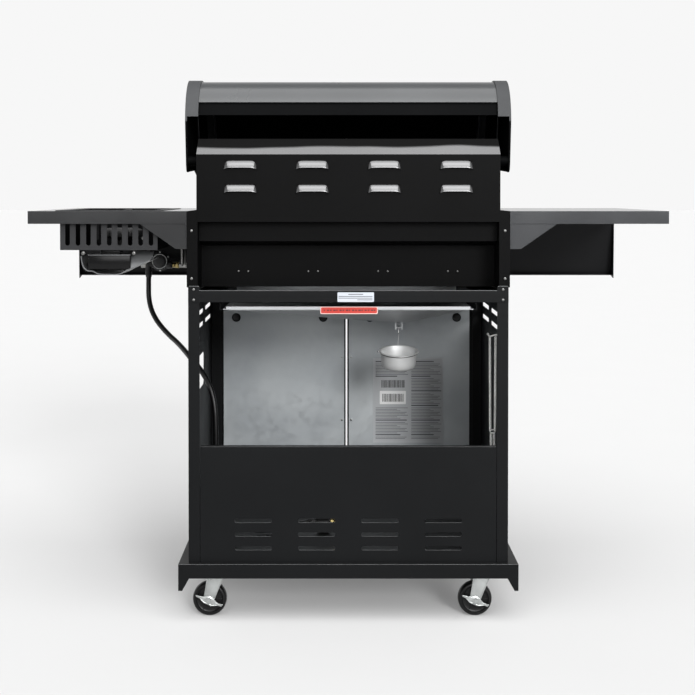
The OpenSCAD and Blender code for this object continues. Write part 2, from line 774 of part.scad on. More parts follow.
module hood_cap() {
    wall = 4;
    inner = gap / 2;
    difference() {
        union() {
            along_x(hood_half - wall, hood_half) polygon(concat(
                hood_line(cap_proud, rear_arc_z),
                [[213, 945], [211, 932], [205, 920], [196, 916], [186, 917], [60, 922]],
                [[hood_front_y - cap_proud, hood_low_z - 4]]
            ));
            along_x(hood_band_half, hood_half - wall) hood_sheet(inner, cap_proud, band_end_z);
            translate([box_half + 1.5, hinge_y, hinge_z]) rotate([0, 90, 0])
                cylinder(r = 10, h = hood_half - wall - box_half - 1.5, $fn = 32);
            // Web that joins the skin and liner to the end wall
            along_x(hood_band_half + 2.2, hood_band_half + 4.2) difference() {
                polygon(concat(hood_line(inner, skin_end_z), [[150, 905], [hood_front_y, hood_low_z]]));
                polygon(concat(hood_line(-24, 1036), [[150, 900], [hood_front_y + 24, hood_low_z - 5]]));
            }
        }
        hinge_bore(hood_half + 1);
    }
}

module hood_caps() color([0.38, 0.39, 0.4]) {
    hood_cap();
    mirror([1, 0, 0]) hood_cap();
}

module hood_handle() color([0.7, 0.7, 0.7]) {
    y = hood_front_y - 58;
    z = 905;
    rod([-270, y, z], [270, y, z], 12, 32);
    for (x = [-235, 235]) rod([x, y, z], [x, hood_front_y, z], 9, 32);
}

module thermometer() color([0.75, 0.75, 0.75]) {
    on_dial() {
        cylinder(r = 30, h = 10, $fn = 48);
        translate([0, 0, -45]) cylinder(r = 4, h = 46, $fn = 24);
    }
}

// ---- Doors ----

// Door on the +X side, hinged at its outer edge
module door() color([0.2, 0.2, 0.21]) {
    slab([door_in, door_y[0], door_z[0]], [door_out, door_y[0] + sheet, door_z[1]]);
    for (x = [door_in, door_out - sheet])
        slab([x, door_y[0] + sheet, door_z[0]], [x + sheet, door_y[1] - 2, door_z[1]]);
    difference() {
        for (z = [door_z[0], door_z[1] - sheet])
            slab([door_in + sheet, door_y[0] + sheet, z], [door_out - sheet, door_y[1] - 2, z + sheet]);
        translate([door_hinge_x, door_hinge_y, 0]) cylinder(r = door_pin_r + run, h = 700, $fn = 24);
    }
}

module door_liner() color([0.5, 0.52, 0.54]) {
    difference() {
        slab([door_in + 3.5, door_y[1] - 2, door_z[0] + 3], [liner_out, door_y[1] - 1, door_z[1] - 3]);
        // Access holes to the handle screws
        for (x = handle_ends)
            translate([x, door_y[1] + 5, handle_z]) rotate([90, 0, 0]) cylinder(r = 10.6, h = 20, $fn = 32);
    }
}

module door_handle() color([0.7, 0.7, 0.7]) {
    rod([handle_ends[0] - 15, handle_out_y, handle_z], [handle_ends[1] + 15, handle_out_y, handle_z], 7, 24);
    for (x = handle_ends)
        rod([x, handle_out_y, handle_z], [x, door_y[0], handle_z], 5, 24);
}

// ---- Drip tray and cup ----

// Four-sided funnel from the tray's rim to its low point, wider and lower by drop
module tray_funnel(drop) {
    half = tray_w / 2 - 12 + drop;
    hull() {
        slab([-half, tray_y[0] + 6 - drop, tray_z - drop], [half, tray_y[1] - 6 + drop, tray_z + 0.01]);
        translate([tray_low[0], tray_low[1], tray_low[2] - drop])
            slab([-12 - drop, -12 - drop, 0], [12 + drop, 12 + drop, 1]);
    }
}

module drip_tray() color([0.62, 0.63, 0.64]) {
    difference() {
        union() {
            tray_funnel(sheet);
            slab([-tray_w / 2, tray_y[0], tray_z], [tray_w / 2, tray_y[1], tray_z + sheet]);
            slab([-tray_w / 2 + 6, tray_y[1] - sheet, tray_z], [tray_w / 2 - 6, tray_y[1], tray_z + 6]);
            slab([-tray_w / 2 + 6, tray_y[0], tray_z], [tray_w / 2 - 6, tray_y[0] + sheet, tray_z + 20]);
        }
        tray_funnel(0);
        slab([-tray_w / 2 + 12, tray_y[0] + 6, tray_z - 0.5], [tray_w / 2 - 12, tray_y[1] - 6, tray_z + 5]);
        // Hole that the grease drips through
        translate([tray_low[0], tray_low[1] - 8, 500]) cylinder(r = 4, h = 150, $fn = 24);
    }
    // Ears and pin that carry the cup
    x = [tray_low[0] - 7, tray_low[0] + 7];
    y = tray_low[1] + 6;
    for (ear = x) slab([ear - 1, y - 4, cup_pivot_z - 4], [ear + 1, y + 4, tray_low[2] - 1]);
    rod([x[0], y, cup_pivot_z], [x[1], y, cup_pivot_z], 1.5, 24);
}

module grease_cup() color([0.75, 0.75, 0.75]) {
    x = tray_low[0];
    y = tray_low[1] + 6;
    rim = cup_z[1];
    tilt = 10;
    // The bowl hangs by its rear edge, its other side lower
    translate([x, y, rim]) rotate([-tilt, 0, 0]) translate([0, 0, -rim]) rotate_extrude($fn = 72) polygon([
        [0, cup_z[0]], [36, cup_z[0]], [38, cup_z[0] + 2], [cup_r - 4, cup_z[1] - 1.2],
        [cup_r, cup_z[1] - 1.2], [cup_r, cup_z[1]], [cup_r - 5.2, cup_z[1]], [36.6, cup_z[0] + 3],
        [35.5, cup_z[0] + 1.2], [0, cup_z[0] + 1.2]
    ]);
    // Wire hanger and its eye
    translate([x, y, cup_pivot_z]) rotate([0, 90, 0]) difference() {
        cylinder(r = 4, h = 3, center = true, $fn = 24);
        cylinder(r = 1.5 + run, h = 4, center = true, $fn = 24);
    }
    reach = cup_r - 1.9;
    bent_rod([[x, y, 570.5], [x, y, 561], [x, y - reach, rim + reach * sin(tilt) - 0.9]], 1.5);
}

// ---- Knobs ----

module knob() color([0.15, 0.15, 0.15]) {
    difference() {
        union() {
            translate([0, 0, knob_gap]) rotate_extrude($fn = 64) polygon([
                [0, 0], [knob_d / 2 - 1, 0], [knob_d / 2, 1], [knob_d / 2 - 2, 9], [knob_d / 2 - 6, 11],
                [knob_d / 2 - 7, knob_h - 4], [0, knob_h - 4]
            ]);
            translate([-5, -knob_d / 2 + 5, knob_gap + knob_h - 5]) cube([10, knob_d - 10, 5]);
        }
        translate([0, 0, -1]) cylinder(r = stem_r + run, h = knob_gap + 17, $fn = 32);
    }
}

module stem() color([0.7, 0.7, 0.65]) {
    translate([0, 0, -30]) cylinder(r = stem_r, h = 30 + knob_gap + 15, $fn = 32);
}

module ignition_button() color([0.15, 0.15, 0.15]) {
    on_panel(0) {
        translate([0, 0, -12]) cylinder(r = 9, h = 18, $fn = 32);
        translate([0, 0, 4.6]) cylinder(r = 12, h = 4, $fn = 32);
    }
}

base_shelf();
side_panel_right();
side_panel_left();
rear_top_rail();
rear_lower_panel();
firebox_shell();
louver_panel();
burner_tubes();
heat_plates();
cooking_grates();
warming_rack();
gas_manifold();
inlet_pipe();
regulator();
hose_ferrule();
gas_hose();
tank_connector();
control_panel();
side_shelf_right();
side_shelf_left();
shelf_fascias();
side_burner_box();
side_burner();
screws();
lighting_chain();
caster_plates();
hood_skin();
hood_liner();
hood_caps();
hood_handle();
thermometer();
door();  // door_right
mirror([1, 0, 0]) door();  // door_left
door_liner();  // door_liner_right
mirror([1, 0, 0]) door_liner();  // door_liner_left
door_handle();  // door_handle_right
mirror([1, 0, 0]) door_handle();  // door_handle_left
drip_tray();
grease_cup();
on_panel(knob_x[0]) knob();  // knob_1
on_panel(knob_x[1]) knob();  // knob_2
on_panel(knob_x[2]) knob();  // knob_3
on_panel(knob_x[3]) knob();  // knob_4
on_panel(side_burner_x) knob();  // knob_side
on_panel(knob_x[0]) stem();  // stem_1
on_panel(knob_x[1]) stem();  // stem_2
on_panel(knob_x[2]) stem();  // stem_3
on_panel(knob_x[3]) stem();  // stem_4
on_panel(side_burner_x) stem();  // stem_side
ignition_button();
at_caster(1, caster_y[0]) fork();  // fork_rear_right
at_caster(-1, caster_y[0]) fork();  // fork_rear_left
at_caster(1, caster_y[1]) fork();  // fork_front_right
at_caster(-1, caster_y[1]) fork();  // fork_front_left
at_caster(1, caster_y[0]) wheel();  // wheel_rear_right
at_caster(-1, caster_y[0]) wheel();  // wheel_rear_left
at_caster(1, caster_y[1]) wheel();  // wheel_front_right
at_caster(-1, caster_y[1]) wheel();  // wheel_front_left
at_caster(1, caster_y[0]) brake_lever();  // brake_lever_right
at_caster(-1, caster_y[0]) brake_lever();  // brake_lever_left
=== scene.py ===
"""Looks of the gas barbecue grill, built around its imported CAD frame. Metres, +Z up, the front faces -Y."""

import json
import math

import bmesh
import bpy
from mathutils import Matrix, Vector

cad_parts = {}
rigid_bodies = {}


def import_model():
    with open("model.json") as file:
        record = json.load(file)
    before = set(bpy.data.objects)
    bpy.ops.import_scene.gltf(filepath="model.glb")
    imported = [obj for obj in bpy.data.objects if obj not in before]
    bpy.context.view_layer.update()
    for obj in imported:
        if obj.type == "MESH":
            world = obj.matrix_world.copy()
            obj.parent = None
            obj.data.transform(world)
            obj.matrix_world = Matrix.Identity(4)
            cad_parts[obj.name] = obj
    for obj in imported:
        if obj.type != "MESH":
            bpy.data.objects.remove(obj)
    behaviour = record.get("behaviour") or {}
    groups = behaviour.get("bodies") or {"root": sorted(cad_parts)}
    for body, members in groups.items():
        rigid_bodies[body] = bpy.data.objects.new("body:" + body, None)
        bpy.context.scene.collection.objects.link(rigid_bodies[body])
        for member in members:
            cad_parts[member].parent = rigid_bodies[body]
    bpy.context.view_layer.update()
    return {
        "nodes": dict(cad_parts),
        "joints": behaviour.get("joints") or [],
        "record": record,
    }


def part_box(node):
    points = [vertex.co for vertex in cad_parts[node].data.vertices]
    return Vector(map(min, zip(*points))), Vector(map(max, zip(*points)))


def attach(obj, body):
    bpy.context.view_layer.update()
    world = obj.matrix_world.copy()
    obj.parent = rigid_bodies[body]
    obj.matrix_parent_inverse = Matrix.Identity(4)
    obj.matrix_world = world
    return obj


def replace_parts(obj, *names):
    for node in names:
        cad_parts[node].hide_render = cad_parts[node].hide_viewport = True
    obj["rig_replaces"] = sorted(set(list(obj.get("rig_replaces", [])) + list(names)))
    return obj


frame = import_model()

RECORD = frame["record"]
SLOTS = {part["node"]: part["material_slot"] for part in RECORD["subparts"]}
BODIES = {node: body for body, nodes in RECORD["behaviour"]["bodies"].items() for node in nodes}
JOINTS = {joint["name"]: joint for joint in frame["joints"]}
UPRIGHT = Matrix.Rotation(math.radians(90), 4, "X")  # Turns an outline in X and Y into one in X and Z
MM = 0.001  # The frame is in metres; the shapes below are drawn in millimetres
CORNERS = ("rear_right", "rear_left", "front_right", "front_left")


def box(node):
    """Lowest and highest corner of a CAD node, in millimetres."""
    return [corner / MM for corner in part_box(node)]


def spot(joint):
    """Place of a joint, in millimetres."""
    return Vector(JOINTS[joint]["pos_m"]) / MM


def new_object(name, data):
    """An object of that data, in the scene."""
    made = bpy.data.objects.new(name, data)
    bpy.context.scene.collection.objects.link(made)
    return made


# ---------------------------------------------------------------- camera and cord

def aim_camera():
    """A camera behind the grill, a little off its middle, level but for one degree."""
    data = bpy.data.cameras.new("camera")
    data.lens = 66.2
    data.sensor_width = 36.0
    data.shift_x = 0.0158
    data.shift_y = -0.1912
    camera = new_object("camera", data)
    camera.location = (0.024, 2.869, 0.874)
    camera.rotation_euler = (math.radians(89.0), 0.0, math.radians(180.0))
    bpy.context.scene.camera = camera


HOSE_RADIUS = 6 * MM
HOSE_ROUTE = [(0.471, -0.170, 0.672), (0.471, -0.169, 0.650), (0.470, -0.166, 0.625), (0.464, -0.158, 0.600),
              (0.452, -0.144, 0.578), (0.434, -0.122, 0.559), (0.412, -0.094, 0.542), (0.390, -0.062, 0.529),
              (0.368, -0.022, 0.515), (0.348, 0.014, 0.500), (0.325, 0.043, 0.480), (0.308, 0.060, 0.457),
              (0.297, 0.070, 0.431), (0.291, 0.076, 0.402), (0.289, 0.079, 0.370), (0.288, 0.080, 0.335),
              (0.288, 0.080, 0.300), (0.288, 0.080, 0.265), (0.287, 0.080, 0.230), (0.283, 0.079, 0.200),
              (0.273, 0.077, 0.174), (0.256, 0.074, 0.153), (0.233, 0.070, 0.138), (0.205, 0.064, 0.130),
              (0.172, 0.058, 0.129), (0.140, 0.053, 0.133), (0.114, 0.050, 0.138), (0.088, 0.048, 0.142)]


def make_hose():
    """The gas hose as one smooth curve along its route.

    Its points carry the radius, because Blender's box round a curve grows by the radius of its points."""
    curve = bpy.data.curves.new("hose", "CURVE")
    curve.dimensions = "3D"
    curve.bevel_depth = 1.0
    curve.bevel_resolution = 6
    curve.resolution_u = 8
    curve.use_fill_caps = True
    spline = curve.splines.new("BEZIER")
    spline.bezier_points.add(len(HOSE_ROUTE) - 1)
    for point, place in zip(spline.bezier_points, HOSE_ROUTE):
        point.co = place
        point.radius = HOSE_RADIUS
        point.handle_left_type = "AUTO"
        point.handle_right_type = "AUTO"
    hose = new_object("hose", curve)
    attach(hose, "cart")
    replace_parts(hose, "gas_hose")
    return hose


aim_camera()
hose = make_hose()


# ---------------------------------------------------------------- looks

def set_inputs(node, values):
    """Sets the values of a node's inputs."""
    for name, value in values.items():
        node.inputs[name].default_value = value


def shader_node(tree, kind, values=None, links=None):
    """A node with values on its inputs, and other nodes' outputs linked to its inputs."""
    made = tree.nodes.new("ShaderNode" + kind)
    set_inputs(made, values or {})
    for name, source in (links or {}).items():
        tree.links.new(source, made.inputs[name])
    return made


LOOKS = {}


def principled(name):
    """A new material, its tree and its shader. The material is kept in LOOKS by its name."""
    made = bpy.data.materials.new(name)
    made.use_nodes = True
    LOOKS[name] = made
    return made, made.node_tree, made.node_tree.nodes["Principled BSDF"]


def look(name, color, rough, metallic=0.0, specular=0.5, vary=0.15, vary_size=0.25, grain=0.0003, bump=0.1,
         rough_vary=0.08, brush=None, dust=0.0, coat=0.0, tint=None):
    """A surface with clouded colour, uneven roughness and a fine grain.

    grain is the size of the grain in metres, bump its strength, brush the axis that it is drawn out
    along, dust a pale film towards upward faces, and tint the colour that the clouds drift to."""
    made, tree, shader = principled(name)
    set_inputs(shader, {"Metallic": metallic, "Specular IOR Level": specular, "Coat Weight": coat,
                        "Coat Roughness": 0.12})
    place = tree.nodes.new("ShaderNodeTexCoord").outputs["Object"]

    def clouds(size, detail, stretch=None):
        source = place
        if stretch is not None:
            source = shader_node(tree, "Mapping", {"Scale": stretch}, {"Vector": place}).outputs["Vector"]
        return shader_node(tree, "TexNoise", {"Scale": 1 / size, "Detail": detail}, {"Vector": source}).outputs["Fac"]

    base = Vector(color)
    ramp = shader_node(tree, "ValToRGB", links={"Fac": clouds(vary_size, 5)})
    for stop, position, shade in zip(ramp.color_ramp.elements, (0.3, 0.7),
                                     (base * (1 - vary), Vector(tint) if tint else base * (1 + vary))):
        stop.position = position
        stop.color = (*shade, 1)
    color_out = ramp.outputs["Color"]
    if dust:
        normal = tree.nodes.new("ShaderNodeNewGeometry").outputs["Normal"]
        split = shader_node(tree, "SeparateXYZ", links={"Vector": normal})
        amount = shader_node(tree, "MapRange", {"From Min": 0.3, "From Max": 1.0, "To Max": dust},
                             {"Value": split.outputs["Z"]})
        color_out = shader_node(tree, "MixRGB", {"Color2": (0.35, 0.35, 0.34, 1)},
                                {"Fac": amount.outputs["Result"], "Color1": color_out}).outputs["Color"]
    tree.links.new(color_out, shader.inputs["Base Color"])

    stretch = {None: None, "x": (0.02, 1, 1), "y": (1, 0.02, 1), "z": (1, 1, 0.02)}[brush]
    fine = clouds(grain, 2, stretch)
    spread = shader_node(tree, "MapRange", {"To Min": max(0.02, rough - rough_vary),
                                            "To Max": min(1.0, rough + rough_vary)},
                         {"Value": clouds(vary_size / 3, 4) if brush is None else fine})
    tree.links.new(spread.outputs["Result"], shader.inputs["Roughness"])
    lift = shader_node(tree, "Bump", {"Strength": bump, "Distance": grain}, {"Height": fine})
    tree.links.new(lift.outputs["Normal"], shader.inputs["Normal"])
    return made


def galvanised_look():
    """Zinc sheet: soft spangle cells over a dull blue grey."""
    made = look("galvanised", (0.34, 0.365, 0.385), 0.46, metallic=0.35, vary=0.1, vary_size=0.18, grain=0.0006,
                bump=0.05, tint=(0.44, 0.465, 0.475))
    tree = made.node_tree
    place = tree.nodes.new("ShaderNodeTexCoord").outputs["Object"]
    cells = shader_node(tree, "TexVoronoi", {"Scale": 90}, {"Vector": place})
    shade = shader_node(tree, "MapRange", {"To Min": 0.36, "To Max": 0.52}, {"Value": cells.outputs["Color"]})
    tree.links.new(shade.outputs["Result"], tree.nodes["Principled BSDF"].inputs["Roughness"])
    return made


SHADE_LINE = (0.9705, 0.9745)  # Height where the flange's polish starts to fade into painted shade and where it is painted black, in metres
SHADE_WAVE = 0.012


def flange_look():
    """Polished enamel of the rear flange, painted black towards its upper edge along an uneven line: painted shade
    that ends its band of reflection.
    """
    made = look("flange_enamel", (0.15, 0.15, 0.152), 0.2, metallic=0.92, vary=0.06, grain=0.0005, bump=0.03)
    tree = made.node_tree
    shader = tree.nodes["Principled BSDF"]
    shader.inputs["Specular IOR Level"].default_value = 0.04
    place = tree.nodes.new("ShaderNodeTexCoord").outputs["Object"]
    height = shader_node(tree, "SeparateXYZ", links={"Vector": place})
    wave = shader_node(tree, "TexNoise", {"Scale": 7.0, "Detail": 1.0}, {"Vector": place})
    line = shader_node(tree, "Math", {1: SHADE_WAVE}, {0: wave.outputs["Fac"], 2: height.outputs["Z"]})
    line.operation = "MULTIPLY_ADD"
    amount = shader_node(tree, "MapRange", {"From Min": SHADE_LINE[0], "From Max": SHADE_LINE[1]},
                         {"Value": line.outputs["Value"]}).outputs["Result"]
    enamel = shader.inputs["Base Color"].links[0].from_socket
    # Painted shade: near black above the wavy line, where the flange's band of reflection ends
    mix = shader_node(tree, "MixRGB", {"Color2": (0.004, 0.004, 0.004, 1)}, {"Fac": amount, "Color1": enamel})
    tree.links.new(mix.outputs["Color"], shader.inputs["Base Color"])
    for name, bright, shaded in (("Roughness", 0.2, 0.6), ("Metallic", 0.92, 0.0)):
        blend = shader_node(tree, "MapRange", {"To Min": bright, "To Max": shaded}, {"Value": amount})
        tree.links.new(blend.outputs["Result"], shader.inputs[name])
    return made


def clear_glass():
    """Clear flat glass over the dial."""
    made, _, shader = principled("dial_glass")
    set_inputs(shader, {"Base Color": (0.9, 0.92, 0.92, 1), "Roughness": 0.03, "Transmission Weight": 1.0,
                        "IOR": 1.1})
    return made


BLACK = (0.0042, 0.0046, 0.0051)
look("cart_black", BLACK, 0.44, specular=0.09, vary=0.12, grain=0.0007, bump=0.09, dust=0.02)
box_enamel = look("box_enamel", (0.0024, 0.0024, 0.0025), 0.4, specular=0.04, grain=0.0005, bump=0.12)
look("panel_grey", (0.0048, 0.005, 0.0058), 0.42, specular=0.15, grain=0.0006, bump=0.08)
shelf_grey = look("shelf_grey", (0.033, 0.0345, 0.0375), 0.22, specular=0.4, grain=0.0006, bump=0.08)
look("hood_grey", (0.052, 0.055, 0.058), 0.28, rough_vary=0.02, grain=0.0009, bump=0.05, coat=0.2)
# A darker copy of shelf_grey for the right shelf: painted shade
shelf_painted_shade = look("shelf_painted_shade", (0.019, 0.0195, 0.0205), 0.22, specular=0.35, grain=0.0006, bump=0.08)
shelf_top = look("shelf_top", (0.034, 0.035, 0.038), 0.15, specular=0.4, rough_vary=0.02, grain=0.0006, bump=0.02)
look("cap_grey", (0.062, 0.064, 0.067), 0.55, specular=0.15, grain=0.0006, bump=0.1)
burner_grey = look("burner_grey", (0.014, 0.0145, 0.016), 0.42, specular=0.25, grain=0.0006, bump=0.08)
liner_black = look("liner_black", (0.0022, 0.0024, 0.0027), 0.6, specular=0.03, grain=0.0008, bump=0.1)
stainless = look("stainless", (0.62, 0.61, 0.6), 0.28, metallic=1.0, vary=0.08, brush="y", grain=0.0008, bump=0.04,
                 tint=(0.6, 0.53, 0.42))
brushed = look("brushed", (0.62, 0.62, 0.62), 0.27, metallic=1.0, vary=0.05, brush="x", grain=0.0006, bump=0.03)
zinc = look("zinc", (0.44, 0.455, 0.45), 0.3, metallic=1.0, vary=0.12, vary_size=0.02, grain=0.0006, bump=0.05)
chrome = look("chrome", (0.75, 0.75, 0.76), 0.14, metallic=1.0, vary=0.05, grain=0.0006, bump=0.01)
pipe_steel = look("pipe_steel", (0.3, 0.3, 0.29), 0.32, metallic=1.0, vary=0.15, vary_size=0.03, bump=0.05)
brass = look("brass", (0.4, 0.32, 0.14), 0.28, metallic=1.0, vary=0.15, vary_size=0.01, bump=0.04)
cast_iron = look("cast_iron", (0.014, 0.014, 0.0145), 0.55, specular=0.4, grain=0.0012, bump=0.35)
pan_grey = look("pan_grey", (0.12, 0.123, 0.126), 0.4, metallic=0.6, vary=0.12, grain=0.0008, bump=0.08)
moulded = look("moulded_black", (0.012, 0.012, 0.0125), 0.45, specular=0.4, grain=0.0004, bump=0.15)
rubber = look("hose_rubber", (0.003, 0.003, 0.0033), 0.36, specular=0.3, grain=0.0005, bump=0.08)
wheel_black = look("wheel_black", (0.0035, 0.0035, 0.0037), 0.34, specular=0.22, grain=0.0006, bump=0.06)
galvanised_look()
tray_zinc = look("tray_zinc", (0.42, 0.43, 0.44), 0.35, metallic=0.8, vary=0.12, grain=0.0006, bump=0.05)
white_film = look("white_film", (0.5, 0.53, 0.58), 0.3, vary=0.04, bump=0.02)
sticker = look("sticker_white", (0.88, 0.88, 0.88), 0.4, vary=0.02, bump=0.02)
clear_film = look("clear_film", (0.47, 0.485, 0.5), 0.32, vary=0.05, vary_size=0.1, bump=0.03)
ink_grey = look("ink_grey", (0.045, 0.047, 0.055), 0.4, vary=0.08, bump=0.02)
ink_black = look("ink_black", (0.02, 0.02, 0.022), 0.4, vary=0.05, bump=0.02)
red_film = look("red_film", (0.5, 0.03, 0.017), 0.3, vary=0.06, bump=0.02)
white_ink = look("white_ink", (0.7, 0.7, 0.68), 0.45, vary=0.04, bump=0.02)
dial_face = look("dial_face", (0.72, 0.72, 0.7), 0.5, vary=0.03, bump=0.02)
# A pale grey for the rounded top edges of the rear sheets: painted highlight
painted_edge_highlight = look("painted_edge_highlight", (0.2, 0.205, 0.21), 0.35, vary=0.2, vary_size=0.05, bump=0.03)
# Near black for holes, slots and recesses drawn as flat marks: painted shade
hole_shade = look("hole_shade", (0.004, 0.004, 0.004), 0.8, specular=0.1, bump=0.02)
gloss_enamel = look("gloss_enamel", (0.15, 0.15, 0.152), 0.2, metallic=0.92, vary=0.06, grain=0.0005, bump=0.03)
cup_steel = look("cup_steel", (0.66, 0.665, 0.665), 0.5, metallic=0.4, vary=0.06, vary_size=0.04, grain=0.0006,
                 bump=0.03)
box_gloss = look("box_gloss", (0.004, 0.004, 0.0042), 0.22, specular=0.2, grain=0.0006, bump=0.05)
ring_wire = look("ring_wire", (0.16, 0.16, 0.155), 0.3, metallic=0.9, vary=0.1, vary_size=0.01, bump=0.02)
red_ink = look("red_ink", (0.12, 0.008, 0.008), 0.35, vary=0.05, bump=0.02)
chain_steel = look("chain_steel", (0.9, 0.9, 0.88), 0.4, metallic=0.3, vary=0.1, vary_size=0.01, bump=0.02)
screw_steel = look("screw_steel", (0.24, 0.24, 0.235), 0.3, metallic=1.0, vary=0.1, vary_size=0.01, bump=0.03)
red_border = look("red_border", (0.72, 0.5, 0.46), 0.32, vary=0.04, bump=0.02)
flange_enamel = flange_look()
dial_glass = clear_glass()

SLOT_LOOKS = {"chrome_wire": "chrome", "handle_steel": "brushed"}


def slot_look(slot):
    """The look of a material slot, which goes by the slot's name but for two."""
    return LOOKS[SLOT_LOOKS.get(slot, slot)]


# ---------------------------------------------------------------- shapes

def mark_sharp(mesh, degrees):
    """Shades the mesh smooth but for edges that turn more than so many degrees."""
    bm = bmesh.new()
    bm.from_mesh(mesh)
    limit = math.radians(degrees)
    for face in bm.faces:
        face.smooth = True
    for edge in bm.edges:
        edge.smooth = len(edge.link_faces) == 2 and edge.calc_face_angle(0) < limit
    bm.to_mesh(mesh)
    bm.free()


def clean_copy(node):
    """A bmesh of a CAD node with its points merged and its flat faces whole."""
    bm = bmesh.new()
    bm.from_mesh(frame["nodes"][node].data)
    bmesh.ops.remove_doubles(bm, verts=bm.verts, dist=0.01 * MM)
    bmesh.ops.dissolve_limit(bm, angle_limit=math.radians(0.6), verts=bm.verts, edges=bm.edges)
    return bm


def adopt(piece, node, slot=None, replaces=True):
    """Lets a piece ride on a node's body and stand for the node."""
    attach(piece, BODIES[node])
    slot or SLOTS[node]
    if replaces:
        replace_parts(piece, node)
    return piece


def broken_edges(bm, name, width, segments=2, angle=30):
    """An object of a bmesh, with its edges broken by a small radius and no materials yet."""
    mesh = bpy.data.meshes.new(name)
    bm.to_mesh(mesh)
    bm.free()
    piece = new_object(name, mesh)
    bevel = piece.modifiers.new("edges", "BEVEL")
    bevel.width = width * MM
    bevel.segments = segments
    bevel.limit_method = "ANGLE"
    bevel.angle_limit = math.radians(angle)
    bevel.use_clamp_overlap = True
    piece.data = bpy.data.meshes.new_from_object(piece.evaluated_get(bpy.context.evaluated_depsgraph_get()))
    piece.modifiers.clear()
    mark_sharp(piece.data, 40)
    piece.data.materials.clear()
    piece.modifiers.new("normals", "WEIGHTED_NORMAL").keep_sharp = True
    return piece


def refine(node, surface=None, width=0.45, segments=2):
    """Shows a CAD node with its edges broken by a small radius, as on folded and cut sheet."""
    piece = broken_edges(clean_copy(node), node + "_finish", width, segments)
    piece.data.materials.append(surface or slot_look(SLOTS[node]))
    return adopt(piece, node)


def repaint(piece, surface, chosen):
    """Gives a second look to the faces that chosen picks."""
    piece.data.materials.append(surface)
    for face in piece.data.polygons:
        if chosen(face):
            face.material_index = 1


